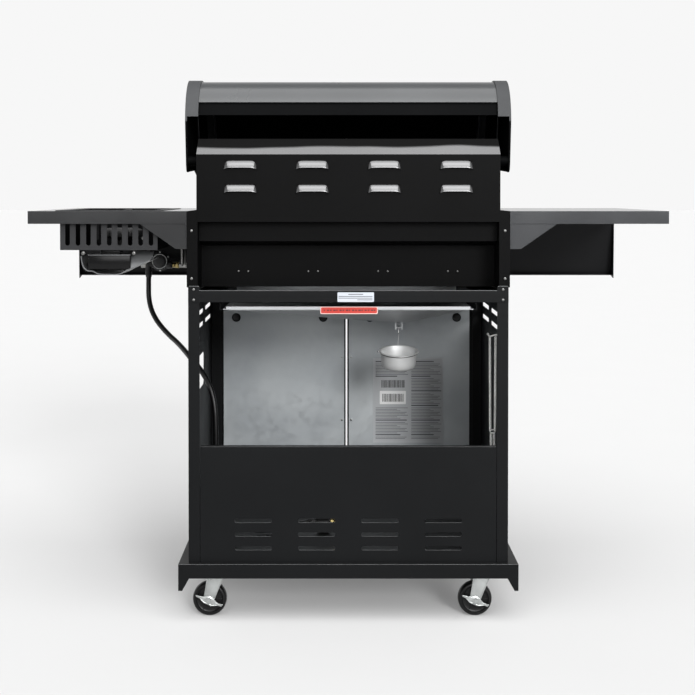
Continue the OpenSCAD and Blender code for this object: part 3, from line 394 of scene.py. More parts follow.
class Build:
    """One piece made of several shapes. Each shape takes the look and the placing that are set when it is added."""

    def __init__(self, name, surface):
        self.name = name
        self.bm = bmesh.new()
        self.looks = []
        self.place = Matrix.Identity(4)
        self.paint(surface)

    def paint(self, surface):
        if surface not in self.looks:
            self.looks.append(surface)
        self.index = self.looks.index(surface)
        return self

    def at(self, origin=(0, 0, 0), axis=(0, 0, 1), turn=0.0):
        """Sets the origin of what follows, and the direction of its own Z axis."""
        aim = Matrix.Identity(4)
        if tuple(axis) != (0, 0, 1):
            aim = Vector(axis).to_track_quat("Z", "Y").to_matrix().to_4x4()
        self.place = Matrix.Translation(origin) @ aim @ Matrix.Rotation(math.radians(turn), 4, "Z")
        return self

    def add(self, points, faces):
        verts = [self.bm.verts.new(self.place @ Vector(p) * MM) for p in points]
        for face in faces:
            corners = [verts[i] for i in face]
            if len(set(corners)) > 2:
                self.bm.faces.new(corners).material_index = self.index
        return self

    def turned(self, profile, steps=48, ripple=0, depth=0.0):
        """Turns an outline of (radius, height) about Z. Ripple cuts that many flutes into its widest part."""
        widest = max(r for r, _ in profile)
        points, faces, rings = [], [], []
        for radius, height in profile:
            if radius < 1e-3:
                rings.append([len(points)] * steps)
                points.append((0, 0, height))
                continue
            rings.append([len(points) + k for k in range(steps)])
            for k in range(steps):
                angle = 2 * math.pi * k / steps
                r = radius
                if ripple and radius > 0.93 * widest:
                    r -= depth * (0.5 + 0.5 * math.cos(ripple * angle)) ** 3
                points.append((r * math.cos(angle), r * math.sin(angle), height))
        for low, high in zip(rings, rings[1:]):
            for k in range(steps):
                ring = [low[k], low[(k + 1) % steps], high[(k + 1) % steps], high[k]]
                face = [p for i, p in enumerate(ring) if p != ring[i - 1]]
                faces.append(face)
        return self.add(points, faces)

    def disc(self, radius, low, high, steps):
        """A plain cylinder about Z."""
        return self.turned([(0, low), (radius, low), (radius, high), (0, high)], steps)

    def slab(self, low, high, edge=0.0):
        """A box with its edges broken by a radius."""
        return self.prism([(low[0], low[1]), (high[0], low[1]), (high[0], high[1]), (low[0], high[1])], low[2],
                          high[2], edge)

    def prism(self, outline, low, high, edge=0.0):
        """An outline in X and Y raised from low to high, with its edges broken by a radius."""
        part = bmesh.new()
        lower = [part.verts.new((x, y, low)) for x, y in outline]
        upper = [part.verts.new((x, y, high)) for x, y in outline]
        count = len(outline)
        part.faces.new(lower[::-1])
        part.faces.new(upper)
        for k in range(count):
            part.faces.new([lower[k], lower[(k + 1) % count], upper[(k + 1) % count], upper[k]])
        bmesh.ops.recalc_face_normals(part, faces=part.faces)
        if edge:
            turns = [e for e in part.edges if e.calc_face_angle(0) > math.radians(35)]
            bmesh.ops.bevel(part, geom=turns, offset=edge, segments=3, profile=0.5, affect="EDGES",
                            clamp_overlap=True)
        part.verts.index_update()
        points = [v.co.copy() for v in part.verts]
        faces = [[v.index for v in f.verts] for f in part.faces]
        part.free()
        return self.add(points, faces)

    def tube(self, route, radius, sides=12, closed=False):
        """A round bar swept along a route. The radius is one number, or one for each point."""
        route = [Vector(p) for p in route]
        count = len(route)
        points, faces = [], []
        side = None
        for k, here in enumerate(route):
            ahead = route[(k + 1) % count] if closed or k < count - 1 else here
            behind = route[k - 1] if closed or k > 0 else here
            along = (ahead - behind).normalized()
            if side is None:
                side = along.orthogonal().normalized()
            side = (side - along * side.dot(along)).normalized()
            other = along.cross(side)
            size = radius[k] if isinstance(radius, list) else radius
            for s in range(sides):
                angle = 2 * math.pi * s / sides
                points.append(here + size * (math.cos(angle) * side + math.sin(angle) * other))
        for k in range(count if closed else count - 1):
            a, b = k * sides, ((k + 1) % count) * sides
            for s in range(sides):
                n = (s + 1) % sides
                faces.append([a + s, a + n, b + n, b + s])
        if not closed:
            faces.append(list(range(sides))[::-1])
            faces.append([(count - 1) * sides + s for s in range(sides)])
        return self.add(points, faces)

    def tick(self, degrees, reach, half, level):
        """A flat mark that points at the axis: reach is from and to which radius, level from and to which height."""
        along = direction(degrees)
        across = Vector((-along.y, along.x, 0)) * half
        inner, outer = (along * r for r in reach)
        corners = [inner - across, outer - across, outer + across, inner + across]
        points = [corner + Vector((0, 0, z)) for z in level for corner in corners]
        return self.add(points, [(4, 5, 6, 7), (0, 1, 5, 4), (1, 2, 6, 5), (2, 3, 7, 6), (3, 0, 4, 7), (3, 2, 1, 0)])

    def grid(self, surface, columns, rows):
        """A curved sheet: surface(u, v) gives a point for u and v from 0 to 1."""
        points = [surface(c / columns, r / rows) for r in range(rows + 1) for c in range(columns + 1)]
        width = columns + 1
        starts = [r * width + c for r in range(rows) for c in range(columns)]
        faces = [[k, k + 1, k + width + 1, k + width] for k in starts]
        return self.add(points, faces)

    def finish(self, node, replaces=True, slot=None, sharp=38, thickness=0.0, merge=True):
        if merge:
            bmesh.ops.remove_doubles(self.bm, verts=self.bm.verts, dist=0.002 * MM)
        bmesh.ops.recalc_face_normals(self.bm, faces=self.bm.faces)
        mesh = bpy.data.meshes.new(self.name)
        self.bm.to_mesh(mesh)
        self.bm.free()
        for surface in self.looks:
            mesh.materials.append(surface)
        mark_sharp(mesh, sharp)
        piece = new_object(self.name, mesh)
        if thickness:
            wall = piece.modifiers.new("wall", "SOLIDIFY")
            wall.thickness = thickness * MM
            wall.offset = 0
        return adopt(piece, node, slot, replaces)


def direction(degrees):
    """The direction at that angle from X towards Y."""
    return Vector((math.cos(math.radians(degrees)), math.sin(math.radians(degrees)), 0))


def arc(center, radius, start, end, steps):
    """Points (x, y) on an arc, in degrees."""
    return [(center[0] + radius * math.cos(math.radians(start + (end - start) * k / steps)),
             center[1] + radius * math.sin(math.radians(start + (end - start) * k / steps)))
            for k in range(steps + 1)]


def rounded(width, height, radius, steps=5):
    """A rectangle about the origin with round corners."""
    x, y = width / 2 - radius, height / 2 - radius
    return [point for turn, center in ((0, (x, y)), (90, (-x, y)), (180, (-x, -y)), (270, (x, -y)))
            for point in arc(center, radius, turn, turn + 90, steps)]


def smooth(route, steps=6):
    """A smooth line through the points of a route."""
    points = [Vector(p) for p in route]
    line = []
    for k in range(len(points) - 1):
        before, after = points[max(k - 1, 0)], points[min(k + 2, len(points) - 1)]
        a, b = points[k], points[k + 1]
        for s in range(steps):
            t = s / steps
            line.append(0.5 * (2 * a + (b - before) * t + (2 * before - 5 * a + 4 * b - after) * t * t
                               + (3 * a - before - 3 * b + after) * t ** 3))
    return line + [points[-1]]


def fillet(route, radius, steps=6):
    """A route of straight runs with a round bend of about that radius at each corner."""
    points = [Vector(p) for p in route]
    line = [points[0]]
    for before, corner, after in zip(points, points[1:], points[2:]):
        back, ahead = (before - corner), (after - corner)
        reach = min(radius, back.length * 0.49, ahead.length * 0.49)
        a, b = corner + back.normalized() * reach, corner + ahead.normalized() * reach
        for s in range(steps + 1):
            t = s / steps
            line.append((1 - t) ** 2 * a + 2 * t * (1 - t) * corner + t * t * b)
    return line + [points[-1]]


def islands(node):
    """Lowest and highest corners of each separate solid of a CAD node."""
    bm = bmesh.new()
    bm.from_mesh(frame["nodes"][node].data)
    bmesh.ops.remove_doubles(bm, verts=bm.verts, dist=0.01 * MM)
    left, found = set(bm.verts), []
    while left:
        stack, group = [left.pop()], []
        while stack:
            here = stack.pop()
            group.append(here.co / MM)
            for edge in here.link_edges:
                there = edge.other_vert(here)
                if there in left:
                    left.remove(there)
                    stack.append(there)
        found.append((Vector([min(p[i] for p in group) for i in range(3)]),
                      Vector([max(p[i] for p in group) for i in range(3)])))
    bm.free()
    return sorted(found, key=lambda pair: [round(c, 2) for c in pair[0]])


def hexagon(across):
    """A nut's outline, that wide over its flats."""
    return arc((0, 0), across / math.sqrt(3), 0, 300, 5)


# ---------------------------------------------------------------- knobs, button and dial

KNOB_RADIUS = 24.6
KNOB_LIFT = 5.2
KNOB_HEIGHT = 29.6
KNOB_MARKS = 7
MARK_STEP = 30


def make_knob(which):
    """A fluted knob with a raised grip, a bright ring and a white pointer."""
    joint = "knob_turn_" + which
    knob = Build("knob_cap_" + which, moulded).at(spot(joint), JOINTS[joint]["axis"])
    r, low, top = KNOB_RADIUS, KNOB_LIFT, KNOB_HEIGHT
    knob.turned([(0, low + 3), (r - 6, low + 3), (r - 5, low), (r - 1, low), (r, low + 1), (r - 1.4, low + 7),
                 (r - 2.6, low + 8.6), (r - 6.6, low + 10.4), (r - 7, low + 11.2), (0, low + 11.2)], 96, 32, 0.5)
    knob.paint(brushed)
    knob.turned([(r - 6.9, low + 10.6), (r - 4.6, low + 9.9), (r - 4.2, low + 10.7), (r - 6.6, low + 11.6)], 64)
    knob.paint(moulded).prism(rounded(11, 2 * r - 13, 5.3, 6), low + 10.8, top, 1.3)
    pointer = [(x, y + r - 13) for x, y in rounded(1.6, 8, 0.7, 3)]
    knob.paint(white_ink).prism(pointer, top - 0.3, top + 0.2)
    return knob.finish("knob_" + which)


def panel_ring(which, body):
    """The bezel round a knob and the generic marks of its settings, which grow round the dial."""
    joint = "knob_turn_" + which
    ring = Build("knob_bezel_" + which, brushed).at(spot(joint), JOINTS[joint]["axis"])
    ring.turned([(27.5, 0), (31, 0), (31, 0.6), (29.6, 1.6), (28, 1.4), (27.5, 0)], 72)
    ring.paint(white_ink)
    for step in range(KNOB_MARKS):
        outer = 36.5 if step % 3 else 38.5
        ring.tick(90 - step * MARK_STEP, (33.5, outer), 0.35 * (1 + step * 0.25), (0.02, 0.12))
    return ring.finish(body, replaces=False, slot="handle_steel", merge=False)


def make_button():
    """The ignition button: a domed cap with a fine rim, in a bright bezel."""
    out = -Vector(JOINTS["ignition_push"]["axis"])
    seat = spot("knob_turn_2")
    here = (0, seat.y, seat.z)
    cap = Build("ignition_cap", moulded).at(here, out)
    cap.turned([(0, -12), (9, -12), (9, 4.6), (11.4, 4.6), (12, 5.2), (12, 7.6), (11.2, 8.4), (9.4, 8.5), (8.8, 8.0),
                (5, 7.6), (0, 7.5)], 56)
    cap.paint(red_film)
    cap.turned([(0, 7.65), (2.2, 7.65), (2.2, 7.8), (0, 7.85)], 24)
    cap.finish("ignition_button")
    ring = Build("ignition_bezel", brushed).at(here, out)
    ring.turned([(12.4, 0), (15.5, 0), (15.5, 0.6), (14.6, 1.4), (12.8, 1.4), (12.4, 0)], 56)
    ring.finish("control_panel", replaces=False, slot="handle_steel")


def end_middle(node, axis):
    """Middle of the end face of a node that lies furthest along an axis."""
    axis = Vector(axis).normalized()
    points = [v.co / MM for v in frame["nodes"][node].data.vertices]
    furthest = max(p.dot(axis) for p in points)
    face = [p for p in points if furthest - p.dot(axis) < 0.1]
    return sum(face, Vector()) / len(face)


DIAL_TILT = 22.0
DIAL_START = 225
DIAL_SWEEP = 270
DIAL_TICKS = 40
DIAL_NUMBERS = 5


def make_thermometer():
    """A dial thermometer with a steel bezel, a pale face, ticks, plain numbers and a needle."""
    out = Vector((0, -math.cos(math.radians(DIAL_TILT)), math.sin(math.radians(DIAL_TILT))))
    face = end_middle("thermometer", out)
    dial = Build("thermometer_dial", brushed).at(face - out * 10, out)
    dial.turned([(0, -45), (3.6, -45), (4, -44), (4, -1), (12, 0.2), (28, 0.2), (29.6, 1), (30, 3), (29.4, 8),
                 (28, 9.9), (26, 9.6), (25.2, 7.4), (25, 6.2), (0, 6.2)], 72)
    dial.paint(dial_face)
    dial.disc(25, 6.3, 6.5, 64)
    dial.paint(ink_black)
    for step in range(DIAL_TICKS + 1):
        inner, half = (21.3, 0.18) if step % 5 else (19.5, 0.35)
        dial.tick(DIAL_START - step * DIAL_SWEEP / DIAL_TICKS, (inner, 23.6), half, (6.5, 6.6))
    needle, lift = direction(DIAL_START), Vector((0, 0, 7.1))
    dial.paint(red_film).tube([needle * -5 + lift, needle * 18 + lift], [0.9, 0.3], 8)
    dial.paint(brushed)
    dial.turned([(0, 6.6), (2.2, 6.6), (2.2, 7.6), (1.4, 8), (0, 8)], 24)
    dial.paint(dial_glass)
    dial.turned([(0, 8.4), (25.3, 8.4), (25.3, 8.9), (0, 9.2)], 64)
    dial.finish("thermometer")
    for step in range(DIAL_NUMBERS):
        data = bpy.data.curves.new("dial_number", "FONT")
        data.body = str(step * 100)
        data.size = 4.6 * MM
        data.align_x = "CENTER"
        data.align_y = "CENTER"
        data.extrude = 0.04 * MM
        data.materials.append(ink_black)
        number = new_object("dial_number_%d" % step, data)
        middle = direction(DIAL_START - step * DIAL_SWEEP / (DIAL_NUMBERS - 1)) * 15.6 + Vector((0, 0, 6.56))
        number.matrix_world = Matrix.Translation(dial.place @ middle * MM) @ dial.place.to_3x3().to_4x4()
        adopt(number, "thermometer", replaces=False)


# ---------------------------------------------------------------- louvers

def louver_surface(width, height, reach, foot, droop):
    """A pressed louver: level with the sheet along its arched top, sloping out to a lip that droops at its ends."""
    def surface(u, v):
        across = 2 * u - 1
        fall = max(0.0, 1 - abs(across) ** 8) ** 0.5
        turn = math.radians(90 * v)
        low = foot - droop * abs(across) ** 7
        return (across * width / 2, reach * fall * math.sin(turn) ** 1.5,
                low + (foot + height - low) * fall * math.cos(turn) ** 1.5)
    return surface


LOUVER_ROWS = (54, 102)  # Below the shield's top edge
LOUVER_PITCH = 146


def make_louvers():
    """A smooth pressing over each opening in the rear shield."""
    wall = louver_wall()
    top = box("louver_panel")[1].z
    for row, drop in enumerate(LOUVER_ROWS):
        for column in range(4):
            x = (column - 1.5) * LOUVER_PITCH
            shell = Build("louver_%d_%d" % (row + 1, column + 1), gloss_enamel).at((x, wall, top - drop))
            shell.grid(louver_surface(68, 14, 8, -6, 5), 56, 14)
            shell.finish("louver_panel", replaces=False, thickness=0.9, sharp=70)


def louver_wall():
    """Rear face of the shield, that the louvers stand out from."""
    return box("louver_panel")[1].y - 8


# ---------------------------------------------------------------- casters

def caster_frame(corner):
    """Swivel point on the floor and the axle of one caster."""
    swivel = spot("swivel_" + corner)
    return Vector((swivel.x, swivel.y, 0)), spot("roll_" + corner)


WHEEL_RADIUS = 35
WHEEL_HALF_WIDTH = 12


def make_wheel(corner):
    """A moulded wheel with a rounded tread, a dished web with ribs, and a bearing sleeve in its hub."""
    _, axle = caster_frame(corner)
    wheel = Build("wheel_moulding_" + corner, wheel_black).at(axle, (0, 1, 0))
    r, w = WHEEL_RADIUS, WHEEL_HALF_WIDTH
    half = [(r, 0), (r - 0.15, 5), (r - 0.9, 8.4), (r - 2.4, 10.8), (r - 4.6, w), (r - 7, w), (r - 8, w - 0.8),
            (r - 8.6, w - 3), (r - 10.5, w - 4), (14, w - 3.4), (12, w - 2.6), (10.6, w - 0.6), (9.6, w + 0.9),
            (7.4, w + 1)]
    wheel.turned(half[::-1] + [(x, -y) for x, y in half[1:]], 72)
    wheel.paint(zinc)
    wheel.turned([(7.3, -w - 0.9), (7.3, w + 0.9), (4.1, w + 0.9), (4.1, -w - 0.9), (7.3, -w - 0.9)], 40)
    wheel.paint(wheel_black)
    for side in (1, -1):
        for rib in range(6):
            wheel.at(axle, (0, side, 0), rib * 60)
            wheel.slab((11.5, -0.9, 5), (r - 9, 0.9, w - 2.6), 0.3)
    wheel.finish("wheel_" + corner)


def make_fork(corner):
    """A pressed fork: a domed crown over a ball race, two tapered legs with turned edges, and the axle bolt."""
    swivel, axle = caster_frame(corner)
    fork = Build("fork_pressing_" + corner, zinc).at(swivel)
    fork.turned([(5.1, 80.2), (19, 80.2), (21.4, 81), (22, 82.4), (21.4, 83.5), (19.6, 84), (5.1, 84), (5.1, 80.2)],
                64)
    drop = axle.x - swivel.x
    for side in (1, -1):
        foot = [(drop + x, 35 + z) for x, z in arc((0, 0), 10.6, 190, 350, 12)]
        outline = [(-15.5, 81.5), (drop - 10.2, 37)] + foot + [(drop + 10.2, 37), (15.5, 81.5)]
        faces = sorted((-side * 14.5, -side * 16.5))
        fork.place = Matrix.Translation(swivel) @ UPRIGHT
        fork.prism(outline, faces[0], faces[1], 0.6)
        fork.at()
        y = swivel.y + side * 15.8
        for edge, reach in ((-15.5, -10.4), (15.5, 10.4)):
            fork.tube([(swivel.x + edge, y, 80), (axle.x + reach, y, 38)], 1.5, 10)
        fork.at((axle.x, axle.y + side * 16.4, axle.z), (0, side, 0))
        fork.turned([(4, -0.4), (9, -0.4), (8.2, 0.9), (4, 1)], 40)
        if side < 0 or corner.startswith("front"):
            fork.prism(hexagon(13), 0.9, 4.8, 0.5)
    fork.at(axle, (0, 1, 0))
    fork.turned([(0, -22), (3.5, -22), (3.9, -21.4), (3.9, 21.4), (3.5, 22), (0, 22)], 32)
    fork.finish("fork_" + corner)


LEVER_TILT = 22


def make_lever(corner):
    """The stamped brake lever: a folded wing with a tread at each end, round its hub nut."""
    lever = Build("brake_pressing_" + corner, zinc)
    spin = Matrix.Rotation(math.radians(-LEVER_TILT), 4, "Y")
    lever.place = Matrix.Translation(spot("brake_" + corner)) @ spin @ UPRIGHT
    # The outline is drawn in X and Z, with the plate from y 17.6 to 19.4 mm
    wing = [(-29, -1.6), (-25, 0.6), (-18, 1.2), (-12, 3.4), (-8, 6.8), (-4, 8.6), (0, 9.2), (4, 8.6), (8, 6.8),
            (12, 3.4), (18, 1.2), (25, 0.6), (29, -1.6), (27, -3.4), (20, -3.6), (15, -6.6), (10.5, -8.8), (6, -9.8),
            (2.4, -9.4), (0, -8.4), (-2.4, -9.4), (-6, -9.8), (-10.5, -8.8), (-15, -6.6), (-20, -3.6), (-27, -3.4)]
    lever.prism(wing, -19.2, -17.6, 0.5)
    for side in (1, -1):
        ends = sorted((side * 13.5, side * 29.5))
        lever.prism([(ends[0], 0.2), (ends[1], -1.6), (ends[1], 0.2), (ends[0], 2.2)], -20.5, -17.6, 0.5)
        lever.tube(smooth([(side * 12, 1.6, -19.6), (side * 6.5, 5.6, -19.4), (0, 7.2, -19.4)]), 0.8, 8)
        lever.tube(smooth([(side * 19, -3, -19.3), (side * 9, -7.4, -19.3), (side * 1.5, -7.2, -19.3)]), 0.7, 8)
    lever.turned([(4.1, -17.2), (8, -17.2), (8, -19.8), (6.6, -20.6), (4.1, -20.6), (4.1, -17.2)], 40)
    lever.finish("brake_lever_" + corner)


def make_plates():
    """Top plates with rounded corners, bolts, the upper ball race and the kingpin."""
    plates = Build("caster_top_plates", zinc)
    for corner in CORNERS:
        swivel, _ = caster_frame(corner)
        plates.at(swivel)
        plates.prism(rounded(54, 54, 6), 88, 91, 0.5)
        plates.turned([(6, 84.5), (16, 84.5), (17, 85.2), (17, 87.4), (18.5, 88), (6, 88), (6, 84.5)], 56)
        plates.turned([(0, 87), (5, 87), (5, 79.6), (7.6, 79.4), (8, 78.6), (7.4, 76.8), (5.6, 76), (0, 76)][::-1],
                      40)
        for x in (-20, 20):
            for y in (-20, 20):
                plates.at(swivel + Vector((x, y, 0)))
                plates.prism(hexagon(9), 84.4, 88.1, 0.4)
    plates.finish("caster_plates")


# ---------------------------------------------------------------- gas parts

def make_inlet():
    """The bent steel pipe from the manifold, with its brass nut and nipple."""
    low, high = box("inlet_pipe")
    x, z = low.x + 7, low.z + 8
    front, back, crest = low.y + 2, high.y - 8, high.z - 5
    pipe = Build("inlet_pipe_bent", pipe_steel)
    route = [(x, front, z - 1), (x, front + 15, crest), (x, back, crest), (x, back, z), (x + 9, back, z)]
    pipe.tube(fillet(route, 9, 8), 4.5, 16)
    pipe.at((x, front - 2, z - 1), (0, 1, 0)).prism(hexagon(13), 0, 5, 0.5)
    pipe.paint(brass)
    pipe.at((x + 8, back, z), (1, 0, 0))
    pipe.prism(hexagon(13.8), 0, 8, 0.8)
    pipe.turned([(0, 8), (6.2, 8), (6.5, 9.2), (5.6, 10), (6.3, 11), (5.6, 12), (6.3, 13), (5.8, 14), (6.3, 15),
                 (0, 15.8)], 32)
    pipe.prism(hexagon(12), 11.4, 14.8, 0.5)
    pipe.finish("inlet_pipe")


def make_regulator():
    """The regulator: a flanged disc with a crimped rim, a vent cap, and its inlet and outlet necks."""
    high = box("regulator")[1]
    back = high.y - 6
    middle = Vector((444, back, 710))
    body = Build("regulator_housing", moulded).at(middle, (0, -1, 0))
    body.turned([(0, -5.8), (4, -5.9), (12.5, -5.6), (14, -4.6), (14, 0.2), (17.4, 0.8), (19.6, 3), (20.8, 8),
                 (23, 9.4), (24, 10.4), (24, 15.4), (23, 16.4), (20.6, 17.4), (19, 22), (17, 25), (13, 26), (0, 26)],
                72, 36, 0.35)
    for k in range(6):
        body.at(middle, (0, -1, 0), k * 60)
        body.slab((14, -1, 0.4), (19.2, 1, 3.2), 0.5)
    body.at(middle, (0, -1, 0)).paint(zinc)
    body.turned([(16, 0.9), (16.4, -0.2), (17.4, -0.2), (17.9, 1.4)], 72)
    for k in range(6):
        out = direction(30 + k * 60) * 21.8
        body.at(middle + Vector((out.x, -8.6, out.y)), (0, 1, 0))
        body.turned([(0, 1.8), (1.6, 1.6), (2.1, 0), (0, -0.8)], 16)
    body.paint(moulded).at((415, back + 3 - 13, 701), (1, 0, 0))
    body.turned([(0, 0), (7.4, 0), (8, 0.8), (8, 10), (7, 16), (0, 16)], 36)
    body.at()
    neck = [(450, back - 10, 703), (471, -170, 702), (471, -170, 690)]
    body.tube(fillet(neck, 8, 8), 7.8, 24)
    body.finish("regulator")


def make_ferrule():
    """The crimped ferrule, tapering into the hose."""
    low, high = box("hose_ferrule")
    sleeve = Build("hose_ferrule_crimp", moulded).at(((low.x + high.x) / 2, (low.y + high.y) / 2, low.z))
    sleeve.turned([(0, 0), (6.3, 0), (6.9, 1.4), (7.5, 5), (8.1, 6.4), (7.3, 7.2), (8.2, 8.2), (8.2, 10.4),
                   (7.5, 11.2), (8.4, 12.2), (8.5, 17), (7.8, 18), (0, 18)], 48)
    return sleeve.finish("hose_ferrule")


def make_connector():
    """The bottle connector: a ribbed sleeve on the hose, a handwheel with finger grips, and a nipple."""
    knob = Build("bottle_connector", moulded).at(Vector(HOSE_ROUTE[-1]) / MM, (-1, 0, 0))
    knob.turned([(0, 0), (8, 0), (9, 1), (8.2, 3), (9, 5), (8.2, 7), (9, 9), (8.4, 11), (9, 19.6), (0, 19.6)], 40)
    knob.turned([(0, 20), (17, 20), (20.4, 22), (21, 25), (21, 45), (20.4, 48), (18, 49.8), (0, 49.8)], 96, 12, 2.4)
    knob.paint(brass)
    knob.turned([(0, 49.6), (9.6, 49.6), (10, 50.4), (10, 57), (8, 60), (7, 63.4), (3, 64), (2.4, 60), (0, 60)], 40)
    return knob.finish("tank_connector")


# ---------------------------------------------------------------- cup, chain and screws

CUP_DROP = 51  # From the tray's pin to the cup's rim
CUP_LEAN = 10


def make_cup():
    """A spun steel cup with a rolled rim in a wire ring, hung by its rear edge from the tray's pin."""
    low, high = box("grease_cup")
    pivot = spot("cup_swing")
    r = (high.x - low.x) / 2
    rim = pivot - Vector((0, 0, CUP_DROP))
    tilt = Matrix.Rotation(math.radians(-CUP_LEAN), 4, "X")
    cup = Build("grease_cup_spun", cup_steel)
    cup.place = Matrix.Translation(rim) @ tilt
    floor = -39
    outer = [(0, floor), (26, floor), (31.5, floor + 0.8), (35.6, floor + 3.4), (37.6, floor + 7.4),
             (38.6, floor + 16), (40, -6), (40.4, -2.4)]
    lip = [(r - 1.6, -1.9), (r - 0.5, -1.6), (r, -0.9), (r - 0.5, -0.2), (r - 1.6, 0)]
    inner = [(40.4, -0.4), (39.2, -2), (37.6, floor + 16), (36.6, floor + 8), (34.8, floor + 4.2), (31, floor + 1.8),
             (0, floor + 1.2)]
    cup.turned(outer + lip + inner, 96)
    cup.paint(ring_wire)
    cup.tube([direction(a) * 42.2 + Vector((0, 0, -2.9)) for a in range(0, 360, 5)], 1.2, 10, closed=True)
    cup.paint(chrome)
    cup.tube([(x, y, -2.6) for x, y in arc((45, 0), 2.2, -150, 150, 12)], 1.0, 8)
    cup.at()
    hook = [(pivot.x, pivot.y + y, pivot.z + z) for y, z in arc((0, 0), 2.9, 200, -70, 14)]
    end = rim + tilt @ Vector((0, -(r - 1.9), -0.9))
    wire = [(pivot.x, pivot.y, pivot.z - 6), (pivot.x, pivot.y, pivot.z - 13), end]
    cup.tube(hook + fillet(wire, 6, 6), 1.4, 12)
    cup.finish("grease_cup")


CHAIN_PITCH = 5.0
LINK_LENGTH = 7.6
LINK_BAR = 1.1
LINK_HALF = 2.1
CLIP_HEIGHT = 364


def chain_link(build, top, across):
    """One flat link hanging from top, its width along across."""
    line = []
    for k in range(14):
        angle = 2 * math.pi * k / 14
        rise = math.copysign(LINK_LENGTH / 2 - LINK_HALF, math.sin(angle)) + math.sin(angle) * LINK_HALF
        middle = Vector(top) - Vector((0, 0, LINK_LENGTH / 2))
        line.append(middle + Vector((0, 0, rise)) + Vector(across) * math.cos(angle) * LINK_HALF)
    build.tube(line, LINK_BAR, 6, closed=True)


def make_chain():
    """The lighting chain: a hook on the panel, two strands of small links, a clip, and its folded end below."""
    low, high = box("lighting_chain")
    y, bar_z = (low.y + high.y) / 2, high.z - 1.5
    strands = (high.x - 7, high.x - 19)
    chain = Build("lighting_chain_links", chain_steel)
    hook = [(low.x, y, bar_z - 3), (strands[1], y, bar_z - 2), (strands[0], y, bar_z - 5), (high.x - 2.6, y, bar_z)]
    chain.tube(smooth(hook, 6), 2.1, 12)
    chain.at((high.x - 2.6, y, bar_z)).turned(arc((0, 0), 2.6, -90, 90, 12), 20)
    chain.at()
    pitch, top, clip = CHAIN_PITCH, high.z - 7, CLIP_HEIGHT
    for x, foot_x in ((strands[0], strands[0] - 1), (strands[1], strands[1] + 1)):
        count = int((top - clip) / pitch)
        for k in range(count):
            across = (0.8, 0.6, 0) if k % 2 else (0.6, -0.8, 0)
            here = x + (foot_x - x) * k / count
            chain_link(chain, (here, y, top - k * pitch), across)
    middle = (strands[0] + strands[1]) / 2
    turns = [2 * math.pi * k / 24 for k in range(24)]
    ring = [(middle + 5.6 * math.cos(a), y + 1, clip + 3.4 * math.sin(a)) for a in turns]
    chain.tube(ring, 1.1, 8, closed=True)
    chain.slab((middle - 3.4, y - 2, clip - 6), (middle + 3.4, y + 2, clip - 2), 0.8)
    count = int((clip - 4 - low.z) / pitch) - 1
    for k in range(count):
        for side in (-1, 1):
            across = (0.8, 0.6, 0) if k % 2 else (0.6, -0.8, 0)
            chain_link(chain, (middle + side * 3.3, y, clip - 4 - k * pitch), across)
    chain.finish("lighting_chain", merge=False)


def screw_head(build, at, axis, radius, depth):
    """A domed pan head with its cross recess drawn as a thin dark cross on top: painted shade."""
    build.at(at, axis)
    build.turned([(0, 0), (radius, 0), (radius, depth * 0.35), (radius * 0.86, depth * 0.75),
                  (radius * 0.55, depth * 0.97), (0, depth * 0.97)], 28)
    for turn in (0, 90):
        build.at(at, axis, turn)
        build.paint(hole_shade)
        build.slab((-radius * 0.55, -radius * 0.09, depth * 0.9), (radius * 0.55, radius * 0.09, depth))
        build.paint(screw_steel)


def make_screws():
    """Screw heads and hinge pins at the places of the CAD's plain ones."""
    screws = Build("screw_heads", screw_steel)
    for low, high in islands("screws"):
        size = high - low
        if size.x > 3 * size.z:
            screws.at(((low.x + high.x) / 2, (low.y + high.y) / 2, (low.z + high.z) / 2), (1, 0, 0))
            half, r = size.x / 2, size.z / 2
            screws.turned([(0, -half), (r - 0.6, -half), (r, -half + 0.6), (r, half - 0.6), (r - 0.6, half),
                           (0, half)], 32)
        else:
            at = ((low.x + high.x) / 2, low.y, (low.z + high.z) / 2)
            screw_head(screws, at, (0, 1, 0), size.x * 0.4, size.y)
    # Dark discs for the holes in the posts: painted shade
    screws.paint(hole_shade)
    for side in (1, -1):
        screws.at((side * 315, 280, 625), (0, 1, 0))
        screws.disc(1.7, -0.3, 0.05, 20)
    screws.finish("screws", merge=False)


# ---------------------------------------------------------------- labels

def flat_sheet(build, low, high, axis, lift, radius=1.5):
    """A thin film standing lift off a face that looks along +Y or -Y, or up."""
    middle = (Vector(low) + Vector(high)) / 2
    size = Vector(high) - Vector(low)
    build.at((middle.x, middle.y, middle.z), (0, axis, 0))
    build.prism(rounded(size.x, size.z, radius, 3), lift, lift + 0.15)


